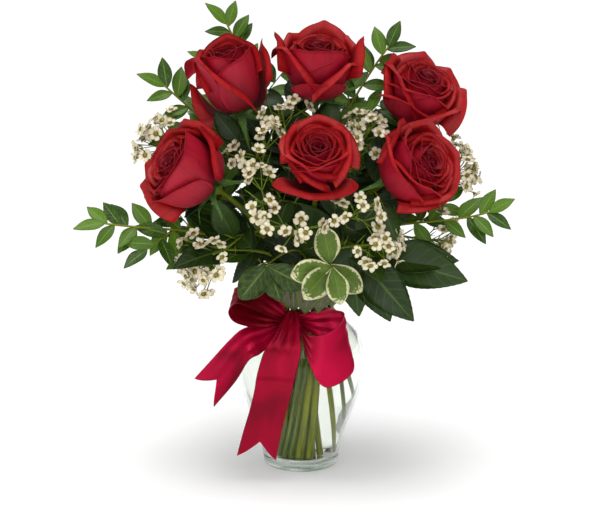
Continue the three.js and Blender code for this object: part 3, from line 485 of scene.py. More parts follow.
class Shader(Nodes):
    """A material. Its settings are inputs of its surface, with _ for a space in their names."""

    def __init__(self, name, **settings):
        self.material = bpy.data.materials.new(name)
        self.material.use_nodes = True
        super().__init__(self.material.node_tree)
        self.surface = self.tree.nodes["Principled BSDF"]
        for key, value in {"Subsurface_Scale": 1.0, **settings}.items():
            self.surface.inputs[key.replace("_", " ")].default_value = value

    def bump(self, height, strength, distance):
        made = self.node("Bump", {"Height": height, "Strength": strength, "Distance": distance})
        self.feed(self.surface.inputs["Normal"], made.outputs[0])

    def colour(self, value):
        self.feed(self.surface.inputs["Base Color"], value)


def srgb(*numbers):
    """A linear colour from sRGB numbers out of 255."""
    shares = [number / 255 for number in numbers]
    return tuple(((c + 0.055) / 1.055) ** 2.4 if c > 0.04 else c / 12.92 for c in shares) + (1,)


def petal_material():
    """Velvety red on its upper face, cooler on its back; painted shade darkens the root and the heart."""
    s = Shader(
        "petal", Roughness=0.55, Specular_IOR_Level=0.3, Sheen_Weight=0.06, Sheen_Roughness=0.4,
        Sheen_Tint=srgb(255, 90, 90), Subsurface_Weight=0.05, Subsurface_Radius=(0.002, 0.0004, 0.0003),
    )
    along, side, draw = s.tint()
    # Painted shade: both faces are painted darker towards the root, deep inside the bloom.
    velvet = s.mix(s.ramp(along, 0.15, 0.9), srgb(78, 1, 10), srgb(163, 9, 14))
    back = s.mix(s.ramp(along, 0.1, 0.9), srgb(104, 2, 24), srgb(158, 6, 36))
    streaks = s.noise(s.stretched(s.uv(), (40, 2.5, 1), draw), 1.0, 3)
    blotches = s.noise(s.stretched(s.uv(), (3, 3, 1), draw), 1.0, 2)
    colour = s.mix(side, velvet, back)
    # Painted shade in the heart: petals with a low draw, the least open ones, are darker and purpler.
    colour = s.mix(s.ramp(draw, 0.0, 0.7), s.mix(0.6, colour, srgb(80, 1, 26)), colour)
    colour = s.mix(s.ramp(streaks, 0.4, 0.75, 0.42), colour, srgb(88, 1, 14))
    colour = s.mix(s.ramp(blotches, 0.5, 0.85, 0.3), colour, srgb(170, 14, 22))
    s.colour(colour)
    s.bump(streaks, 0.3, 0.0005)
    return s.material


def green_material(name, dark, light, roughness=0.5, upper=None):
    """A stem's skin, streaked lengthwise between two greens; another green higher up is painted shade."""
    s = Shader(
        name, Roughness=roughness, Specular_IOR_Level=0.2, Subsurface_Weight=0.08,
        Subsurface_Radius=(0.001, 0.002, 0.0005),
    )
    along, _, draw = s.tint()
    streaks = s.noise(s.stretched(s.uv(), (9, 14, 1), draw), 1.0, 4)
    colour = s.mix(s.ramp(streaks, 0.3, 0.7), dark, light)
    # Painted shade: higher up, among the leaves, the stem is painted another, darker green.
    if upper is not None:
        colour = s.mix(s.ramp(along, 0.45, 0.6), colour, s.mix(0.25, upper, light))
    s.colour(colour)
    s.bump(streaks, 0.3, 0.0004)
    return s.material


def leaf_material(name, greens, roughness, veins, depth, margin=None):
    """A leaf's upper and under faces, with a midrib and side veins. greens: dark, light, of the veins
    and of the under face. veins: on each side. depth: of their grooves. margin: the colour of an edge
    that only leaves with a high draw have."""
    dark, light, vein, under = (srgb(*green) for green in greens)
    s = Shader(
        name, Roughness=roughness, Specular_IOR_Level=0.22, Coat_Weight=0.04, Coat_Roughness=0.3,
        Subsurface_Weight=0.05, Subsurface_Radius=(0.0012, 0.0025, 0.0006),
    )
    along, side, draw = s.tint()
    across = s.times(s.off_middle(), 2.0)
    slanted = s.math("SUBTRACT", s.times(along, float(veins)), s.times(across, 1.6))
    wave = s.math("ABSOLUTE", s.math("SUBTRACT", s.math("FRACT", slanted), 0.5))
    side_vein = s.ramp(wave, 0.36, 0.5, 0.35)
    midrib = s.math("SUBTRACT", 1.0, s.ramp(across, 0.02, 0.1))
    ribs = s.math("MAXIMUM", side_vein, midrib)
    mottle = s.noise(s.stretched(s.uv(), (5, 7, 1), draw), 1.0, 3)
    colour = s.mix(s.ramp(draw, 0.0, 1.0), dark, light)
    colour = s.mix(s.ramp(mottle, 0.35, 0.7, 0.5), colour, s.mix(0.5, dark, light))
    colour = s.mix(s.times(ribs, 0.6), colour, vein)
    if margin is not None:
        ragged = s.noise(s.stretched(s.uv(), (5, 10, 1), draw), 1.4, 5, 0.65)
        nearest = s.math("MAXIMUM", across, s.times(along, 0.9))
        edge = s.math("ADD", nearest, s.times(ragged, 0.7))
        shown = s.times(s.ramp(edge, 1.12, 1.2), s.ramp(draw, 0.25, 0.5))
        colour = s.mix(shown, colour, srgb(*margin))
    s.colour(s.mix(side, colour, under))
    s.bump(s.math("SUBTRACT", s.times(mottle, 0.4), ribs), 0.45, depth)
    return s.material


def satin_material():
    """Crimson with fine cross threads and a darker selvedge; painted highlights and painted shade on it.
    """
    s = Shader(
        "satin", Roughness=0.34, Metallic=0.4, Anisotropic=0.5, Specular_IOR_Level=0.9,
        Specular_Tint=srgb(255, 100, 140), Sheen_Weight=0.04, Sheen_Roughness=0.3,
        Sheen_Tint=srgb(255, 60, 110),
    )
    _, _, draw = s.tint()
    weft = s.noise(s.stretched(s.uv(), (3, 900, 1)), 1.0, 2)
    cloud = s.noise(s.place(), 28.0, 2)
    colour = s.mix(s.ramp(cloud, 0.3, 0.7), srgb(116, 2, 16), srgb(132, 3, 22))
    # Painted light: each stretch is painted brighter or darker by its draw.
    colour = s.mix(s.ramp(draw, 0.0, 1.0), colour, srgb(176, 5, 52))
    # Painted highlights and painted shade: soft bright and dark patches along the ribbon.
    painted_light_patches = s.noise(s.stretched(s.uv(), (1.3, 3.2, 1), draw), 1.0, 1)
    colour = s.mix(s.ramp(painted_light_patches, 0.5, 0.75, 0.5), colour, srgb(198, 10, 64))
    colour = s.mix(s.ramp(painted_light_patches, 0.5, 0.3, 0.7), colour, srgb(86, 2, 10))
    colour = s.mix(s.ramp(s.off_middle(), 0.475, 0.495), colour, srgb(116, 2, 22))
    s.colour(s.mix(s.times(weft, 0.2), colour, srgb(156, 6, 38)))
    s.bump(weft, 0.12, 0.0002)
    return s.material


def wax_petal_material():
    """Creamy white, yellower at the petal's root."""
    s = Shader(
        "wax_petal", Roughness=0.42, Coat_Weight=0.1, Subsurface_Weight=0.25,
        Subsurface_Radius=(0.001, 0.0009, 0.0006),
    )
    along, _, draw = s.tint()
    colour = s.mix(s.ramp(along, 0.05, 0.5), srgb(172, 156, 104), srgb(224, 217, 188))
    colour = s.mix(s.times(draw, 0.3), colour, srgb(200, 178, 158))
    s.colour(colour)
    s.bump(s.noise(s.place(), 900.0, 2), 0.15, 0.0003)
    return s.material


def wax_cup_material():
    """Olive, browner on some florets."""
    s = Shader("wax_cup", Roughness=0.3)
    along, _, draw = s.tint()
    colour = s.mix(s.ramp(along, 0.3, 0.9), srgb(124, 130, 40), srgb(156, 142, 66))
    s.colour(s.mix(s.times(draw, 0.4), colour, srgb(104, 60, 28)))
    return s.material


def clear_material(name, ior, tint, shade, foot=None):
    """Glass or water. Light from lamps comes straight through it, a little dimmed. foot: the dark green of
    the streaks low in a vase's foot, partly the thick glass's own green, partly painted reflection."""
    s = Shader(name, Roughness=0.0, IOR=ior, Transmission_Weight=1.0, Specular_Tint=(0.3, 0.3, 0.3, 1))
    haze = s.noise(s.place(), 40.0, 2)
    colour = s.mix(s.times(haze, 0.4), tint, (1, 1, 1, 1))
    if foot is not None:
        # Partly the thick glass's own green, partly painted reflection: dark green streaks low in the
        # foot.
        height = s.node("SeparateXYZ", {"Vector": s.place()}).outputs[2]
        painted_reflection_streaks = s.noise(s.stretched(s.place(), (45, 45, 420)), 1.0, 2)
        shown = s.times(s.ramp(height, 0.013, 0.008), s.ramp(painted_reflection_streaks, 0.42, 0.62))
        colour = s.mix(shown, colour, foot)
    s.colour(colour)
    clear = s.node("BsdfTransparent", {"Color": shade})
    path = s.node("LightPath")
    parts = {0: path.outputs["Is Shadow Ray"], 1: s.surface.outputs[0], 2: clear.outputs[0]}
    s.feed(s.tree.nodes["Material Output"].inputs["Surface"], s.node("MixShader", parts).outputs[0])
    return s.material


PETAL = petal_material()
# rose_green's upper green is painted shade on the stems among the leaves.
ROSE_GREEN = green_material("rose_green", srgb(92, 104, 2), srgb(160, 166, 6), upper=srgb(52, 76, 24))
SEPAL_GREEN = green_material("sepal_green", srgb(52, 84, 34), srgb(98, 132, 62), 0.6)
TWIG = green_material("twig", srgb(80, 96, 12), srgb(128, 128, 34), 0.6)
WAX_STALK = green_material("wax_stalk", srgb(78, 104, 18), srgb(134, 152, 44), 0.5)
HUCKLEBERRY_LEAF = leaf_material(
    "huckleberry_leaf", ((28, 58, 8), (86, 122, 26), (128, 154, 62), (84, 110, 46)),
    roughness=0.45, veins=8, depth=0.0004,
)
SALAL_LEAF = leaf_material(
    "salal_leaf", ((22, 42, 8), (52, 76, 22), (84, 104, 46), (72, 88, 46)),
    roughness=0.4, veins=7, depth=0.0008,
)
ROSE_LEAF = leaf_material(
    "rose_leaf", ((20, 36, 8), (44, 66, 20), (70, 92, 40), (64, 82, 44)),
    roughness=0.45, veins=7, depth=0.0006,
)
PITTOSPORUM_LEAF = leaf_material(
    "pittosporum_leaf", ((32, 52, 12), (94, 120, 40), (108, 132, 54), (126, 132, 92)),
    roughness=0.42, veins=6, depth=0.0005, margin=(214, 212, 168),
)
COLLAR_LEAF = leaf_material(
    "collar_leaf", ((78, 76, 66), (112, 112, 92), (140, 150, 96), (70, 72, 56)),
    roughness=0.5, veins=10, depth=0.0006, margin=(104, 132, 44),
)
WAX_PETAL = wax_petal_material()
WAX_CUP = wax_cup_material()
SATIN = satin_material()
# foot: the dark green of streaks low in the foot, partly glass green, partly painted reflection.
GLASS = clear_material(
    "glass", 1.46, (0.9, 0.93, 0.89, 1), (0.93, 0.94, 0.935, 1), foot=(0.3, 0.42, 0.31, 1)
)
WATER = clear_material("water", 1.33, (0.975, 0.985, 0.96, 1), (0.97, 0.98, 0.97, 1))


# ---- what later leaves and florets keep clear of ----
standing = []  # (owner, lowest corner, highest corner, tree), in millimetres


def body_of(points, faces):
    """The lowest and the highest corner of a mesh, and its tree."""
    tree = BVHTree.FromPolygons([tuple(p) for p in points], [tuple(f) for f in faces])
    return points.min(axis=0), points.max(axis=0), tree


def stand(piece, owner):
    standing.append((owner, *body_of(np.concatenate(piece.points), piece.faces)))


def leaf_is_clear(centre, owner):
    """Keeps a leaf's coarse grid if it crosses nothing of another owner."""
    faces = grid_faces(centre.shape[0] - 1, centre.shape[1] - 1)
    low, high, tree = body_of(centre.reshape(-1, 3), faces)
    for other, least, most, there in standing:
        if other != owner and (low < most).all() and (high > least).all() and tree.overlap(there):
            return False
    standing.append((owner, low, high, tree))
    return True


def point_is_clear(point, distance, owner):
    """Whether nothing of another owner is nearer than the distance."""
    place = np.array(point)
    for other, least, most, there in standing:
        near = (place > least - distance).all() and (place < most + distance).all()
        if other != owner and near and there.find_nearest(point, distance)[0]:
            return False
    return True


# ---- vase and water ----
WALL_ROWS = 72


def wall_line(depth):
    """The vase's outside moved inwards by a depth, from the foot to the rim."""
    outside = catmull_rom(OUTLINE, np.linspace(0, 1, WALL_ROWS + 1))
    tangent = np.gradient(outside, axis=0)
    tangent /= np.linalg.norm(tangent, axis=1, keepdims=True)
    line = outside + np.column_stack([-tangent[:, 1], tangent[:, 0]]) * depth
    return line[np.argsort(line[:, 1])]


def wall_radius(depth, height):
    """The moved line's radius at one height, or at an array of them."""
    line = wall_line(depth)
    return np.interp(height, line[:, 1], line[:, 0])


def wall_between(depth, low, high):
    """That part of the moved line which lies between two heights."""
    inside = [tuple(p) for p in wall_line(depth) if low + 1 < p[1] < high - 1]
    return [(wall_radius(depth, low), low), *inside, (wall_radius(depth, high), high)]


def make_vase():
    vase = Piece("glass_vase", "glass", [GLASS])
    outside = [tuple(p) for p in wall_line(0)]
    inside = wall_between(WALL, FLOOR + 3, 171.6)[::-1]
    floor = [(29.5, FLOOR + 1.2), (26, FLOOR + 0.2), (18, FLOOR - 0.1), (9, FLOOR - 0.2), (0, FLOOR - 0.2)]
    lathe(vase, [*VASE_FOOT, *outside, *VASE_RIM, *inside, *floor], sides=128)
    vase.build(["vase"])
    return vase


def make_water():
    water = Piece("vase_water", "water", [WATER])
    wall = wall_between(WALL + WATER_GAP, FLOOR + 3, WATER_LEVEL - 1.5)
    bottom = [(0, FLOOR + 0.1), (18, FLOOR + 0.2), (26, FLOOR + 0.5), (29, FLOOR + 1.5)]
    edge = wall[-1][0]
    top = [(edge - 1.2, WATER_LEVEL + 0.2), (edge - 2.4, WATER_LEVEL - 0.3), (edge - 5, WATER_LEVEL - 0.6)]
    lathe(water, [*bottom, *wall, (edge - 0.4, WATER_LEVEL + 0.6), *top, (0, WATER_LEVEL - 0.6)], sides=96)
    water.build(["water"])


# ---- routes of the stems ----
def plants():
    """Every plant as a dict with its kind, name and branches, roses first."""
    found = []
    for i, row in enumerate(ROSES):
        rose = dict(zip(ROSE_KEYS, row))
        found.append(dict(kind="rose", name=f"rose_{i + 1}", branches=[rose], petals=PETALS[i], **rose))
    found.append(dict(kind="pittosporum", name="pittosporum", branches=PITTOSPORUM))
    for kind, several in (("salal", SALAL), ("waxflower", WAXFLOWER), ("huckleberry", HUCKLEBERRY)):
        for i, branches in enumerate(several):
            found.append(dict(kind=kind, name=f"{kind}_{i + 1}", branches=branches))
    return found


def polar(radius, degrees):
    return Vector((radius * math.cos(math.radians(degrees)), radius * math.sin(math.radians(degrees))))


def settle_in_neck(stems):
    """Each stem starts from the side that it leans to, and they push each other apart in the neck."""
    places = []
    for stem in stems:
        middle = sum((Vector(b["tip"]) for b in stem["branches"]), Vector()) / len(stem["branches"])
        flat = middle.xy
        lean = math.atan2(flat.length, middle.z - NECK_HEIGHT) / (math.pi / 2)
        places.append(flat.normalized() * (NECK_RADIUS - stem["radius"]) * min(1, lean * 1.2))
    for _ in range(NECK_PASSES):
        for i in range(len(stems)):
            for j in range(i + 1, len(stems)):
                apart = places[j] - places[i]
                reach = (stems[i]["radius"] + stems[j]["radius"] + CLEARANCE) * SQUEEZE
                push = reach - apart.length
                if push > 0:
                    apart = apart.normalized() * push / 2
                    places[i] -= apart
                    places[j] += apart
        for i, stem in enumerate(stems):
            room = NECK_RADIUS - stem["radius"]
            if places[i].length > room:
                places[i] = places[i].normalized() * room
            if stem["name"] in LEANING:
                places[i] = polar(room, LEANING[stem["name"]][1])
    return places


def arch_to(start, direction, branch):
    """A branch's arch: it starts in a direction and ends at its tip, pointing the way it should."""
    end = Vector(branch["tip"])
    hold = ARCH_HOLD * (end - start).length
    first = start + direction * max(hold, branch.get("rise", ARCH_RISE))
    return Arch(start, first, end - Vector(branch["toward"]).normalized() * hold, end)


def route_stems(stems):
    """Gives every stem its radius and foot, and every branch its arch."""
    for stem in stems:
        stem["radius"] = STEM[stem["kind"]][0]
    for stem, place in zip(stems, settle_in_neck(stems)):
        below = place.copy()
        below.rotate(Matrix.Rotation(math.radians(-TWIST), 2))
        below *= FOOT_SPREAD
        foot = Vector((below.x, below.y, FOOT_HEIGHT))
        neck = Vector((place.x, place.y, NECK_HEIGHT))
        direction = (neck - foot).normalized()
        if stem["name"] in LEANING:
            azimuth, _, height = LEANING[stem["name"]]
            foot = polar(wall_radius(WALL, height) - stem["radius"] - 1, azimuth).to_3d()
            foot.z = height
            direction = Vector((neck.x, neck.y, LEANING_RISE)).normalized()
        first = arch_to(neck, direction, stem["branches"][0])
        stem["foot"] = foot
        stem["branches"] = [dict(branch) for branch in stem["branches"]]
        for k, branch in enumerate(stem["branches"]):
            at = FORK_AT * (1 + 0.3 * (k - 1))
            branch["arch"] = first if k == 0 else arch_to(first.point(at), first.tangent(at), branch)
            branch["toward"] = Vector(branch["toward"]).normalized()
            branch["facing"] = Vector(branch.get("facing", FRONT)).normalized()
    return stems


def draw_stem(piece, stem, sides, paint, steps=26):
    """A stem from its foot to its tips, and a rose's hip below its bloom."""
    thick, thin = STEM[stem["kind"]]
    for k, branch in enumerate(stem["branches"]):
        arch = branch["arch"]
        start = thick * (1 if k == 0 else FORK_THINNER)
        end = 1
        if stem["kind"] == "rose":
            end = 1 - HIP[0][0] * stem["size"] / arch.length
        places = []
        if k == 0:
            places = [(stem["foot"].lerp(arch.point(0), i / 10), start) for i in range(10)]
        for i in range(steps + 1):
            share = end * i / steps
            places.append((arch.point(share), lerp(start, thin, share)))
        if stem["kind"] == "rose":
            tip = arch.point(1)
            for below, radius in HIP[1:]:
                places.append((tip - branch["toward"] * below * stem["size"], radius * stem["size"]))
        tube(piece, places, sides, vary(k, len(stem["name"]), 1), paint)


# ---- roses ----
def pose_of(rose):
    """The matrix that takes an upright rose of size 1 to its place, tilt and size."""
    tilt = Z.rotation_difference(Vector(rose["toward"]).normalized()).to_matrix().to_4x4()
    scale = Matrix.Diagonal((rose["size"], rose["size"], rose["size"] * rose["tall"], 1))
    return np.array(Matrix.Translation(rose["tip"]) @ tilt @ scale)


def posed(points, pose):
    return points @ pose[:3, :3].T + pose[:3, 3]


def petal_side(openness, opened, tall):
    """Four points of the curve that is a petal's side view, from its root to its lip."""
    belly = lerp(4, ROSE_BELLY, openness**0.7)
    lip = lerp(1, lerp(ROSE_BELLY * 0.9, ROSE_LIP, opened), openness**1.2)
    height = tall * ROSE_LENGTH * (1 - 0.3 * opened * openness**2) - 6 * (1 - openness) ** 4
    return np.array(
        [
            (lerp(3, 6, openness), lerp(18, 2.5, openness)),
            (belly * 1.1 + 2, lerp(19, 0.5, openness)),
            (belly, height * 0.66),
            (lip, height),
        ]
    )


def running_sum(steps):
    """The sums down each column, which start at 0."""
    return np.vstack([np.zeros((1, steps.shape[1])), np.cumsum(steps, axis=0)])


def petal_grid(rose, petal, seed, columns=24, rows=32):
    """A petal's middle surface: columns across it, each grown along the side curve and then rolled
    outwards past a fold line that drops towards its sides, so that its tip stands out as a point."""
    azimuth, openness, tall, half_width, lip, roll, slope = petal
    s = np.linspace(-1, 1, columns + 1)[None, :]
    off = np.abs(s - 0.3 * vary(seed, 2, 4) * (1 - s * s))
    rim = 1 - (0.02 + 0.5 * lip) * off**1.2 - 0.22 * openness * np.abs(s) ** 4.5 + slope * s
    fold = rim - lip * (1 + 1.1 * off**1.4)
    top = rim + 0.05 * openness**2 * np.exp(-((off / 0.15) ** 2))
    v = np.linspace(0, 1, rows + 1)[:, None] * top
    a, b, c, d = petal_side(openness, rose["open"], tall)
    middle = (v[1:] + v[:-1]) / 2
    step = np.diff(v, axis=0)
    r = 1 - middle
    slopes = [
        3 * r * r * (b[k] - a[k]) + 6 * r * middle * (c[k] - b[k]) + 3 * middle**2 * (d[k] - c[k])
        for k in (0, 1)
    ]
    angle = np.arctan2(slopes[0], slopes[1])
    speed = np.hypot(*slopes) * step
    angle = angle + roll * (1 + 0.7 * off) * smooth((middle - fold) / (0.75 * (top - fold)))
    angle = angle + 0.1 * np.sin(5 * s + seed) * middle**3
    radius = a[0] + running_sum(speed * np.sin(angle))
    height = a[1] + running_sum(speed * np.cos(angle))
    wide = np.sin(np.pi / 2 * np.minimum(1, v / 0.6)) * (1 - 0.1 * np.maximum(0, v - 0.8) / 0.2)
    q = 1 - v
    unrolled = a[0] * q**3 + 3 * b[0] * q * q * v + 3 * c[0] * q * v * v + d[0] * v**3
    turn = math.radians(azimuth) - s * half_width * wide / np.maximum(unrolled, 5)
    radius = radius * (1 + 0.05 * s) + 0.5 * np.sin(3 * s + 2 * seed) * v**3
    return np.stack([radius * np.cos(turn), radius * np.sin(turn), height], axis=2)


def heart_petals(rose):
    """The tight spiral at a bloom's centre, as petals like those of PETALS."""
    count, most, tall = rose["heart"]
    for i in range(count):
        openness = most * (i / (count - 1)) ** 0.85
        azimuth = i * GOLDEN_ANGLE + 12 * vary(rose["turn"], i, 7)
        half_width, lip, roll = lerp(9, 36, openness), 0.05 + 0.08 * openness, 0.6 + 0.4 * rose["open"]
        yield azimuth, openness, tall, half_width, lip, roll, 0


def make_bloom(rose):
    bloom = Piece(f"{rose['name']}_petals", "petal", [PETAL])
    pose = pose_of(rose)
    for i, petal in enumerate([*heart_petals(rose), *rose["petals"]]):
        points = petal_grid(rose, petal, rose["turn"] + i)
        # The least open petals, those of the heart, get the lowest draw, which paints them darker: painted
        # shade.
        draw = 2 * smooth(petal[1] / 0.6) - 1 - 0.06 * (i % 5)
        sheet(bloom, posed(points, pose), PETAL_THICKNESS, draw)
    bloom.build([f"{rose['name']}_bloom"])
    return bloom


def make_rose_stem(rose):
    """The stem with its hip, and five sepals that spread and droop below the bloom."""
    green = Piece(f"{rose['name']}_green", "rose_stem", [ROSE_GREEN, SEPAL_GREEN, ROSE_LEAF])
    draw_stem(green, rose, sides=12, paint=0)
    pose = pose_of(rose)
    u, v = np.meshgrid(np.linspace(-1, 1, 7), np.linspace(0, 1, 15))
    for i in range(5):
        azimuth = math.radians(i * 72 + rose["turn"])
        droop = 8 + 5 * vary(rose["turn"], i, 2)
        reach = 3 + 27 * v
        half = 4.2 * (1 - v) ** 0.8 * (0.6 + 0.4 * np.sin(np.pi * np.minimum(1, v * 2))) + 0.15
        turn = azimuth - u * half / reach
        height = -1.6 - droop * v * v + 1.2 * u * u * (1 - v) + 1.5 * np.sin(6 * v + i)
        points = np.stack([reach * np.cos(turn), reach * np.sin(turn), height], axis=2)
        sheet(green, posed(points, pose), SEPAL_THICKNESS, vary(rose["turn"], i, 3), 1)
    return green


# ---- leaves ----
# A leaf's half width at the share v of its length, as a share of the widest.
OUTLINES = {
    "huckleberry": lambda v: np.sin(np.pi * v**0.9) ** 0.85,
    "salal": lambda v: np.sin(np.pi * v**0.72) ** 0.8 * (1 - 0.12 * v),
    "pittosporum": lambda v: np.sin(np.pi * v**1.25) ** 0.7,
    "rose": lambda v: np.sin(np.pi * v**0.85) ** 0.75,
}
# arch: how far the tip bends down. fold: how far the sides rise. wave: of the edges. tooth: depth of the
# teeth. spacing: between leaves along a branch.
LEAF = {
    "huckleberry": dict(length=27, width=12.5, arch=4, fold=1.2, wave=0.3, tooth=0.25, spacing=12.5),
    "salal": dict(length=62, width=38, arch=9, fold=4, wave=0.8, tooth=0.3, spacing=24),
    "pittosporum": dict(length=34, width=21, arch=4, fold=2, wave=1.6, tooth=0, spacing=3),
    "rose": dict(length=38, width=25, arch=7, fold=3, wave=0.6, tooth=0.9, spacing=14),
}
SWINGS = (0, 18, -18, 36, -36, 60, -60)  # in degrees round the stem, tried one after another


def leaf_grid(kind, root, direction, facing, scale, columns=8, rows=28):
    """A leaf's middle surface from its root: direction is its rib's, facing its upper face's."""
    size = LEAF[kind]
    along = direction.normalized()
    across = along.cross(facing).normalized()
    up = across.cross(along)
    s, v = np.meshgrid(np.linspace(-1, 1, columns + 1), np.linspace(0, 1, rows + 1))
    half = size["width"] / 2 * scale * OUTLINES[kind](np.clip(v, 0.004, 0.996))
    teeth = size["tooth"] * (np.arange(rows + 1) % 2)[:, None] * (np.abs(s) > 0.99)
    half = np.maximum(half - teeth, 0.25)
    lift = size["fold"] * scale * np.abs(s) ** 1.4 * np.sin(np.pi * v)
    lift = lift + size["wave"] * np.sin(9 * v + 4 * s) * s * s - size["arch"] * scale * v * v
    return placed(root, (along, size["length"] * scale * v), (across, half * s), (up, lift))


def placed(origin, *moves):
    """A grid of points: an origin moved along each axis by an array of amounts."""
    return np.array(origin) + sum(np.array(axis) * amount[:, :, None] for axis, amount in moves)


def grow_leaf(piece, kind, owner, place, draw, paint=0):
    """A leaf that would cross a neighbour is swung round its stem until it is clear, or left out."""
    root, direction, facing, scale, axis = place
    for swing in SWINGS:
        along, up = turned(direction, axis, swing), turned(facing, axis, swing)
        if leaf_is_clear(leaf_grid(kind, root, along, up, scale, columns=4, rows=6), owner):
            sheet(piece, leaf_grid(kind, root, along, up, scale), LEAF_THICKNESS, draw, paint)
            return


def draw_stalk(piece, arch, start, end, paint, steps=8):
    """A thin stalk along an arch, from one radius to another."""
    places = [(arch.point(k / steps), lerp(start, end, k / steps)) for k in range(steps + 1)]
    tube(piece, places, sides=6, paint=paint)


def leaf_places(arch, face, leaves, seed, spacing):
    """Where the leaves of a branch go: roots spaced back from the tip on alternate sides."""
    for i in range(leaves):
        root, tangent = arch.back(1 if i == 0 else 2 + spacing * i)
        sideways = tangent.cross(face).normalized() * (1 if i % 2 else -1)
        spread = 0.25 if i == 0 else 0.95 + 0.2 * vary(seed, i, 1)
        direction = spread_from(tangent, sideways, spread)
        tilt = face + sideways * 0.35 * vary(seed, i, 2) + tangent * 0.25 * vary(seed, i, 3)
        scale = (0.86 if i == 0 else 0.95) + 0.12 * vary(seed, i, 4)
        yield root, direction, tilt, scale, tangent


def whorl_places(branch):
    """Pittosporum leaves stand in a whorl round the tip."""
    toward = branch["toward"]
    right = toward.cross(Z).normalized()
    for i, degrees in enumerate(branch["whorl"]):
        out = turned(right, toward, -degrees)
        spread = 1.25 + 0.2 * vary(degrees, i, 1)
        root, _ = branch["arch"].back(1 + LEAF["pittosporum"]["spacing"] * i)
        yield root, spread_from(toward, out, spread), toward, 1 + 0.12 * vary(degrees, i, 2), toward


CROWN = ((3, 0.75), (9, -0.9), (20, 1.0), (27, -1.0))  # how far before the tip, and angle in radians


def crown(piece, branch, name, seed):
    """Leaves close to a huckleberry branch's tip, between its own."""
    face = branch["facing"]
    for i, (back, spread) in enumerate(CROWN):
        root, tangent = branch["arch"].back(back)
        sideways = (tangent.cross(face).normalized() + face * 0.3 * vary(seed, i, 15)).normalized()
        place = root, spread_from(tangent, sideways, spread), face, 0.92 + 0.1 * vary(seed, i, 16), tangent
        grow_leaf(piece, "huckleberry", name, place, vary(seed, i, 17))


# first: how far before the branch's tip the first twig stands. spacing: between twigs.
TWIGS = dict(count=4, first=62, spacing=17, length=38, leaves=5, leaf_spacing=8.5)


def side_twigs(piece, branch, name, seed):
    """Short twigs below a huckleberry branch's own leaves, each with leaves of its own."""
    face = branch["facing"]
    for i in range(TWIGS["count"]):
        root, tangent = branch["arch"].back(TWIGS["first"] + TWIGS["spacing"] * i)
        sideways = tangent.cross(face).normalized() * (1 if i % 2 else -1)
        sideways = (sideways + face * 0.4 * vary(seed, i, 11)).normalized()
        reach = TWIGS["length"] * (1 + 0.2 * vary(seed, i, 12))
        end = root + spread_from(tangent, sideways, 0.85) * reach
        if not point_is_clear(end, 3, name):
            continue
        twig = Arch(root, root + spread_from(tangent, sideways, 0.4) * reach * 0.4, end, end + tangent * 4)
        draw_stalk(piece, twig, 0.75, 0.4, paint=1)
        places = leaf_places(twig, face, TWIGS["leaves"], seed + i, TWIGS["leaf_spacing"])
        for k, place in enumerate(places):
            grow_leaf(piece, "huckleberry", name, place, vary(seed + i, k, 13))


# Leaves with a place of their own: how far before the tip, direction, facing and scale.
SINGLE_LEAVES = {
    ("salal_1", 0): [(2, (1, -0.25, -0.2), (0.05, -0.9, 0.42), 1.08)],
    ("salal_1", 1): [(6, (0.3, -0.2, -0.9), (0.25, -0.95, 0.1), 0.9)],
}
EXTRA_LEAVES = {"huckleberry": 5, "salal": 4}  # past the source's own, further down each branch
WHORL_DRAWS = (0.5, -0.9)  # the first whorl's leaves are light and have a pale margin
COLLAR_STEM = "salal_2"


def make_leafy(plant, seed, leaf_paint, stem_paint):
    """A forked stem with the leaves of its kind."""
    kind, name = plant["kind"], plant["name"]
    piece = Piece(f"{name}_spray", kind, [leaf_paint, stem_paint, COLLAR_LEAF])
    draw_stem(piece, plant, sides=8, paint=1)
    if name == COLLAR_STEM:
        make_collar(piece, plant)
    for k, branch in enumerate(plant["branches"]):
        if kind == "pittosporum":
            places = whorl_places(branch)
        else:
            leaves = branch["leaves"] + EXTRA_LEAVES[kind]
            places = leaf_places(branch["arch"], branch["facing"], leaves, seed + k, LEAF[kind]["spacing"])
        for i, place in enumerate(places):
            draw = vary(seed + k, i, 9)
            if kind == "pittosporum":
                draw = WHORL_DRAWS[k] + 0.2 * draw
            grow_leaf(piece, kind, name, place, draw)
        if kind == "huckleberry":
            crown(piece, branch, name, seed + k)
            side_twigs(piece, branch, name, seed + k)
        for i, (back, direction, facing, scale) in enumerate(SINGLE_LEAVES.get((name, k), ())):
            root, tangent = branch["arch"].back(back)
            place = root, Vector(direction), Vector(facing), scale, tangent
            grow_leaf(piece, kind, name, place, vary(seed, i, 14))
    piece.build([name])


# Leaves that hang over the rim above the bow's knot: where each starts and where it points to.
COLLAR = [
    ((-33, -27, 182), (-24, -27, 147)),
    ((34, -26, 181), (28, -29, 145)),
    ((-22, -36, 182), (-13, -31, 144)),
    ((24, -35, 182), (16, -33, 141)),
    ((-6, -41, 184), (-7, -34, 142)),
    ((10, -42, 183), (4, -35, 140)),
]


def make_collar(piece, stem):
    """Grey-green leaves on thin stalks that leave their stem just above the neck."""
    arch = stem["branches"][0]["arch"]
    root, _ = arch.back(arch.length - 32)
    for i, (start, end) in enumerate(COLLAR):
        start, end = Vector(start), Vector(end)
        rest = start.lerp(end, 0.02)
        stalk = Arch(root, root.lerp(start, 0.5) + Z * 12, start + Z * 4, rest)
        draw_stalk(piece, stalk, 0.7, 0.7, paint=1, steps=10)
        facing = Vector((start.x * 0.02, -1, 0.25)).normalized()
        scale = (end - start).length / LEAF["salal"]["length"]
        leaf = leaf_grid("salal", rest, end - start, facing, scale)
        sheet(piece, leaf, LEAF_THICKNESS, 0.7 + 0.3 * vary(3, i, 18), 2)


# first: how far before the stem's tip the first leaf stands. stalk: its length.
COMPOUND = dict(count=6, first=24, spacing=18, stalk=32, leaflets=5)


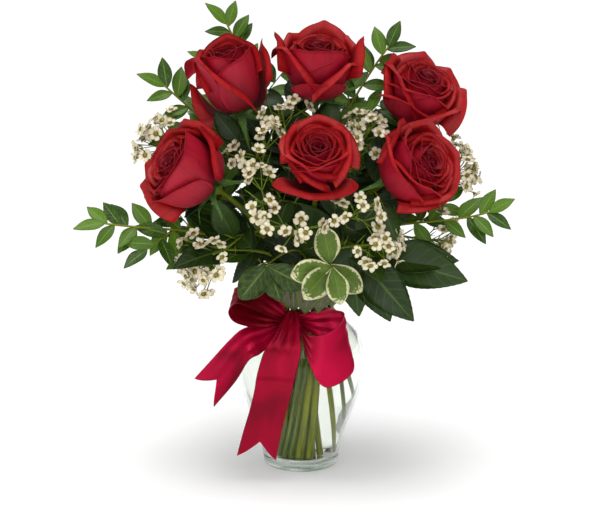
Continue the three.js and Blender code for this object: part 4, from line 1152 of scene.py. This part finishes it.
def compound_leaves(piece, rose, owner):
    """A rose stem's own leaves: five toothed leaflets on a stalk that rises away from the stem."""
    arch = rose["branches"][0]["arch"]
    for i in range(COMPOUND["count"]):
        root, tangent = arch.back(COMPOUND["first"] + COMPOUND["spacing"] * i)
        out = turned(tangent.orthogonal().normalized(), tangent, rose["turn"] + i * GOLDEN_ANGLE)
        reach = COMPOUND["stalk"] * (1 + 0.2 * vary(rose["turn"], i, 20))
        aim = spread_from(tangent, out, 1.05)
        stalk = Arch(root, root + aim * reach * 0.4, root + aim * reach * 0.8, root + aim * reach - Z * 3)
        face = (Z * 0.6 + out * 0.5 - Vector((0, 0.6, 0))).normalized()
        draw_stalk(piece, stalk, 1.0, 0.5, paint=0)
        across = aim.cross(face).normalized()
        for k in range(COMPOUND["leaflets"]):
            foot, along = stalk.back(0.5 + 9 * ((k + 1) // 2))
            side = across * (1 if k % 2 else -1)
            direction = along if k == 0 else spread_from(along, side, 1.1)
            place = foot, direction, face, 0.85 + 0.12 * vary(rose["turn"] + i, k, 21), along
            grow_leaf(piece, "rose", owner, place, vary(rose["turn"] + i, k, 22), 2)


# ---- waxflower ----
# A head's florets in each group, radius, rise of its middle and drop of its edge, and a group's spread.
HEAD = dict(florets=4, radius=24, rise=5, drop=10, spread=9)
# Buds on thin stalks along a branch. first: how far before its tip.
BUDS = dict(count=22, first=6, spacing=4, length=16)
# Height and radius of a floret's cup, up its outside and down into it.
CUP = [(0, 0.7), (1.3, 1.4), (3.2, 2.3), (3.9, 2.1), (3.2, 1.4), (2.7, 0.4)]


def draw_floret(piece, point, facing, root, scale, seed):
    """Five round petals round a cup, on a thin stalk."""
    right = facing.cross(point - root).normalized()
    front = facing.cross(right)
    bend = root.lerp(point, 0.6) + facing * -1.5
    base = point - facing * 3.4 * scale
    tube(piece, [(root, 0.45), (bend, 0.4), (base, 0.5)], sides=5, paint=2)
    tube(piece, [(base + facing * h * scale, r * scale) for h, r in CUP], 12, vary(seed, 1, 1), 1)
    v, s = np.meshgrid(np.linspace(0, 1, 7), np.linspace(-1, 1, 7), indexing="ij")
    half = 2.6 * scale * np.sqrt(np.clip(1 - np.abs(2 * v - 1) ** 2.3, 0.03, 1)) * (0.7 + 0.35 * v)
    for k in range(5):
        angle = 2 * math.pi * (k + 0.2 * vary(seed, k, 2)) / 5
        out = right * math.cos(angle) + front * math.sin(angle)
        size = 1 + 0.13 * vary(seed, k, 5)
        lean = 1.0 + 1.2 * vary(seed, k, 3)
        reach = (1.3 + 4.6 * v * size) * scale
        twist = 0.5 * vary(seed, k, 6) * s * v
        rise = (lean * v * v + 0.8 * s * s * v - 0.4 * v + twist) * scale
        petal = placed(point, (out, reach), (facing.cross(out), half * s * size), (facing, rise))
        sheet(piece, petal, FLORET_THICKNESS, vary(seed, k, 4), 0)


def draw_head(piece, name, k, branch, seed):
    """Groups of florets in a dome round the k-th branch's tip, each group on a stalk of its own."""
    arch, toward = branch["arch"], branch["toward"]
    side = Z.cross(toward).normalized()
    for i in range(branch["groups"]):
        ring = math.sqrt((i + 0.4) / branch["groups"])
        out = turned(side, toward, i * GOLDEN_ANGLE + 40 * (seed + k))
        centre = Vector(branch["tip"]) + Vector(branch.get("shift", (0, 0, 0)))
        centre += out * HEAD["radius"] * ring * (1 + 0.15 * vary(seed + k, i, 1))
        centre += toward * (HEAD["rise"] - HEAD["drop"] * ring * ring + 4 * vary(seed + k, i, 2))
        axis = (toward + out * 0.8 * ring + Vector((0, -0.4, 0.1))).normalized()
        root, _ = arch.back(6 + 18 * ring)
        fork = root.lerp(centre, 0.5) - axis * 2
        tube(piece, [(root, 0.6), (root.lerp(fork, 0.6), 0.5), (fork, 0.5)], sides=5, paint=2)
        for j in range(HEAD["florets"]):
            around = turned(axis.orthogonal().normalized(), axis, 90 * j + 60 * vary(seed + i, j, 3))
            aside = HEAD["spread"] * (0.9 + 0.25 * vary(seed + i, j, 4))
            point = centre + around * aside + axis * 4 * vary(seed + i, j, 5)
            facing = (axis + around * (0.65 + 0.6 * vary(seed + i, j, 8))).normalized()
            scale = 0.98 + 0.12 * vary(seed + i, j, 6)
            if point_is_clear(point, 4, name):
                draw_floret(piece, point, facing, fork, scale, 100 * (seed + k) + 7 * i + j)


def draw_buds(piece, name, arch, seed):
    """Closed buds on thin stalks, in a spiral back from a branch's tip."""
    for i in range(BUDS["count"]):
        root, tangent = arch.back(BUDS["first"] + BUDS["spacing"] * i)
        out = turned(tangent.orthogonal().normalized(), tangent, i * GOLDEN_ANGLE)
        tip = root + spread_from(tangent, out, 0.7) * (BUDS["length"] + 4 * vary(seed, i, 7))
        if point_is_clear(tip, 3, name):
            tube(piece, [(root, 0.45), (root.lerp(tip, 0.5), 0.65), (tip, 0.15)], sides=4, paint=2)


def make_waxflower(plant, seed):
    name = plant["name"]
    piece = Piece(f"{name}_spray", "waxflower", [WAX_PETAL, WAX_CUP, WAX_STALK])
    draw_stem(piece, plant, sides=6, paint=2)
    for k, branch in enumerate(plant["branches"]):
        draw_head(piece, name, k, branch, seed)
        draw_buds(piece, name, branch["arch"], seed)
    piece.build([name])


# ---- ribbon ----
# Each stretch is given by pairs of points across it, one on each edge.
BOW = {
    "left_loop": [
        ((-14, -35, 136), (-10, -31, 137)), ((-26, -50, 144), (-16, -32, 150)),
        ((-43, -62, 156), (-32, -36, 164)), ((-53, -66, 160), (-43, -37, 167)),
        ((-59, -67, 154), (-55, -38, 165)), ((-57, -67, 147), (-52, -39, 158)),
        ((-50, -65, 142), (-44, -40, 154)), ((-34, -55, 136), (-28, -38, 147)),
        ((-15, -37, 134), (-11, -34, 134)),
    ],
    "right_loop": [
        ((-2, -32, 138), (0, -37, 131)), ((14, -38, 143), (14, -52, 127)),
        ((27, -44, 148), (28, -55, 123)), ((36, -54, 148), (38, -59, 124)),
        ((30, -64, 140), (43, -70, 103)), ((19, -67, 134), (21, -73, 90)),
        ((7, -56, 130), (8, -65, 105)), ((-1, -38, 134), (1, -42, 127)),
    ],
    "left_tail": [
        ((-14, -35, 136), (-14, -39, 128)), ((-32, -44, 136), (-27, -56, 120)),
        ((-48, -50, 134), (-34, -67, 117)), ((-60, -52, 124), (-43, -72, 113)),
        ((-74, -52, 108), (-54, -72, 95)), ((-89, -52, 91), (-72, -72, 73)),
    ],
    "front_tail": [
        ((-12, -38, 144), (-3, -38, 144)), ((-17, -46, 138), (-1, -46, 138)),
        ((-22, -53, 129), (-1, -54, 130)), ((-30, -58, 118), (0, -62, 118)),
        ((-36, -58, 99), (-4, -63, 99)), ((-39, -58, 82), (-8, -62, 81)),
        ((-43, -58, 65), (-12, -61, 65)), ((-49, -57, 44), (-17, -60, 43)),
        ((-54, -55, 24), (-21, -58, 21)),
    ],
}
RIBBON_WIDTH = 33
RIBBON_THICKNESS = 0.5
NOTCH = 12  # how far the tails' ends are cut in
BAND = (131.5, 141.5)  # heights of the edges of the stretch round the neck
KNOT = (-8, -30, 136)


def strip_grid(pairs, crowned, pleats, rows=90, columns=20, notch=0.0, crease=None):
    """A stretch of ribbon between its two edges. crowned: how far its middle bulges. pleats: their depth
    where it is gathered. crease: the share of its length at which one crosses it."""
    edges = [catmull_rom([pair[k] for pair in pairs], np.linspace(0, 1, rows + 1)) for k in (0, 1)]
    u = np.linspace(0, 1, columns + 1)[None, :, None]
    flat = edges[0][:, None, :] * (1 - u) + edges[1][:, None, :] * u
    across = edges[1] - edges[0]
    width = np.linalg.norm(across, axis=1, keepdims=True)
    along = np.gradient((edges[0] + edges[1]) / 2, axis=0)
    normal = np.cross(across, along)
    normal /= np.maximum(np.linalg.norm(normal, axis=1, keepdims=True), 1e-9)
    spare = np.clip(1 - width / RIBBON_WIDTH, 0, 1)[:, None, :]
    lift = crowned * np.sin(np.pi * u) + pleats * spare * np.sin(6 * np.pi * u + 0.8)
    if crease is not None:
        off = (np.linspace(0, 1, rows + 1) - crease) / 0.018
        lift = lift - 1.1 * np.exp(-(off**2))[:, None, None]
    made = flat + normal[:, None, :] * lift
    if notch:
        length = np.linalg.norm(along, axis=1).sum()
        reach = 1 - notch / length * (1 - np.abs(2 * u[0, :, 0] - 1))
        place = np.linspace(0, 1, rows + 1)[:, None] * reach[None, :] * rows
        low = np.minimum(place.astype(int), rows - 1)
        part = (place - low)[:, :, None]
        column = np.arange(columns + 1)[None, :]
        made = made[low, column] * (1 - part) + made[low + 1, column] * part
    return made


def band_grid():
    """The stretch round the neck, gathered across its width."""
    turn, height = np.meshgrid(np.linspace(0, 2 * np.pi, 97), np.linspace(0, 1, 13))
    z = lerp(*BAND, height)
    gathers = 0.5 + 0.45 * np.sin(9 * np.pi * height + 0.6 * np.sin(3 * turn)) + 0.3 * np.sin(5 * turn + 2)
    radius = wall_radius(-0.9, z) + gathers
    return np.stack([radius * np.cos(turn), radius * np.sin(turn), z], axis=2)[:, ::-1]


def knot_grid():
    """The short stretch wrapped over the middle of the bow, narrower where it is pulled tight."""
    v, s = np.meshgrid(np.linspace(0, 1, 25), np.linspace(-1, 1, 17), indexing="ij")
    swing = np.pi * (v * 1.7 - 0.35)
    x = KNOT[0] + 7.5 * s * (1 - 0.3 * np.sin(np.pi * v))
    y = KNOT[1] - (8.5 + 0.7 * np.cos(7 * s)) * np.sin(swing)
    z = KNOT[2] + (7.5 + 0.5 * np.cos(7 * s)) * np.cos(swing) + 0.8 * s
    return np.stack([x, y, z], axis=2)


def make_ribbon():
    """Each stretch has a draw of its own, which paints it darker or brighter: painted shade or highlight.
    """
    ribbon = Piece("satin_bow", "satin", [SATIN])
    stretches = [
        (strip_grid(BOW["left_loop"], crowned=0, pleats=2.2), -0.6),
        (strip_grid(BOW["right_loop"], crowned=0, pleats=2.2), 0.5),
        (strip_grid(BOW["left_tail"], crowned=1.5, pleats=2, notch=NOTCH), 0.4),
        (strip_grid(BOW["front_tail"], crowned=1.5, pleats=2, notch=NOTCH, crease=0.56), -0.4),
        (band_grid(), 0.0),
        (knot_grid(), 0.0),
    ]
    for grid, draw in stretches:
        sheet(ribbon, grid, RIBBON_THICKNESS, draw)
    made = ribbon.build(["ribbon"])
    return ribbon


# ---- putting it together ----
stems = route_stems(plants())
stand(make_vase(), "vase")
make_water()
stand(make_ribbon(), "ribbon")
roses = [stem for stem in stems if stem["kind"] == "rose"]
for rose in roses:
    stand(make_bloom(rose), rose["name"])

LEAFY = {
    "huckleberry": (HUCKLEBERRY_LEAF, TWIG),
    "salal": (SALAL_LEAF, ROSE_GREEN),
    "pittosporum": (PITTOSPORUM_LEAF, TWIG),
}
for i, stem in enumerate(stems):
    if stem["kind"] in LEAFY:
        make_leafy(stem, 3 * i, *LEAFY[stem["kind"]])
    elif stem["kind"] == "waxflower":
        make_waxflower(stem, 3 * i)
for rose in roses:
    green = make_rose_stem(rose)
    compound_leaves(green, rose, rose["name"] + "_leaves")
    green.build([f"{rose['name']}_stem"])


# ---- floor, light and camera ----
STAGE_REACH = 40  # of the floor each way, in metres


def make_floor():
    mesh = bpy.data.meshes.new("floor")
    corners = [(x * STAGE_REACH, y * STAGE_REACH, 0) for x, y in ((-1, -1), (1, -1), (1, 1), (-1, 1))]
    mesh.from_pydata(corners, [], [(0, 1, 2, 3)])
    floor = bpy.data.objects.new("floor", mesh)
    bpy.context.scene.collection.objects.link(floor)
    s = Shader(
        "floor", Roughness=0.6, Specular_IOR_Level=0.1, Emission_Color=(1, 1, 1, 1), Emission_Strength=0.1
    )
    s.colour(s.mix(s.noise(s.place(), 3.0, 2), (0.93, 0.93, 0.93, 1), (0.95, 0.95, 0.95, 1)))
    mesh.materials.append(s.material)


def make_light(name, kind, energy, place, target, **settings):
    data = bpy.data.lights.new(name, kind)
    data.energy = energy
    for key, value in settings.items():
        setattr(data, key, value)
    light = bpy.data.objects.new(name, data)
    light.location = place
    light.rotation_euler = (Vector(target) - Vector(place)).to_track_quat("-Z", "Y").to_euler()
    bpy.context.scene.collection.objects.link(light)


def make_softbox(name, energy, place, width, height):
    make_light(name, "AREA", energy, place, (0, 0, 0.22), shape="RECTANGLE", size=width, size_y=height)


def make_world():
    """A pale sky that darkens a little towards the horizon."""
    world = bpy.data.worlds.new("studio")
    world.use_nodes = True
    w = Nodes(world.node_tree)
    height = w.node("SeparateXYZ", {"Vector": w.node("TexCoord").outputs["Generated"]}).outputs[2]
    share = w.node("MapRange", {"Value": height}).outputs[0]
    background = w.tree.nodes["Background"].inputs
    w.feed(background["Color"], w.mix(share, (0.9, 0.9, 0.9, 1), (1.0, 1.0, 1.0, 1)))
    w.feed(background["Strength"], 0.4)
    bpy.context.scene.world = world


CAMERA_ELEVATION = 14  # in degrees
CAMERA_DISTANCE = 1.5
CAMERA_AIM = Vector((-0.00085, 0, 0.183))
PHOTO_WIDTH = 600  # in pixels
PIXELS_PER_RADIAN = 1764.7
SENSOR_WIDTH = 36

make_floor()
make_world()
make_light("overhead", "SUN", 2.05, (-0.03, 0.0, 1.2), (0, 0, 0.2), angle=math.radians(42))
make_softbox("front", 11, (0.3, -1.5, 1.0), 1.4, 1.0)
make_softbox("softbox_left", 3, (-1.0, -0.9, 0.5), 0.4, 0.9)

camera = bpy.data.objects.new("camera", bpy.data.cameras.new("camera"))
elevation = math.radians(CAMERA_ELEVATION)
view = Vector((0, math.cos(elevation), -math.sin(elevation)))
camera.location = CAMERA_AIM - view * CAMERA_DISTANCE
camera.rotation_euler = view.to_track_quat("-Z", "Y").to_euler()
camera.data.sensor_width = SENSOR_WIDTH
camera.data.lens = SENSOR_WIDTH * PIXELS_PER_RADIAN / PHOTO_WIDTH
bpy.context.scene.collection.objects.link(camera)
bpy.context.scene.camera = camera
bpy.context.scene.view_settings.view_transform = "Standard"
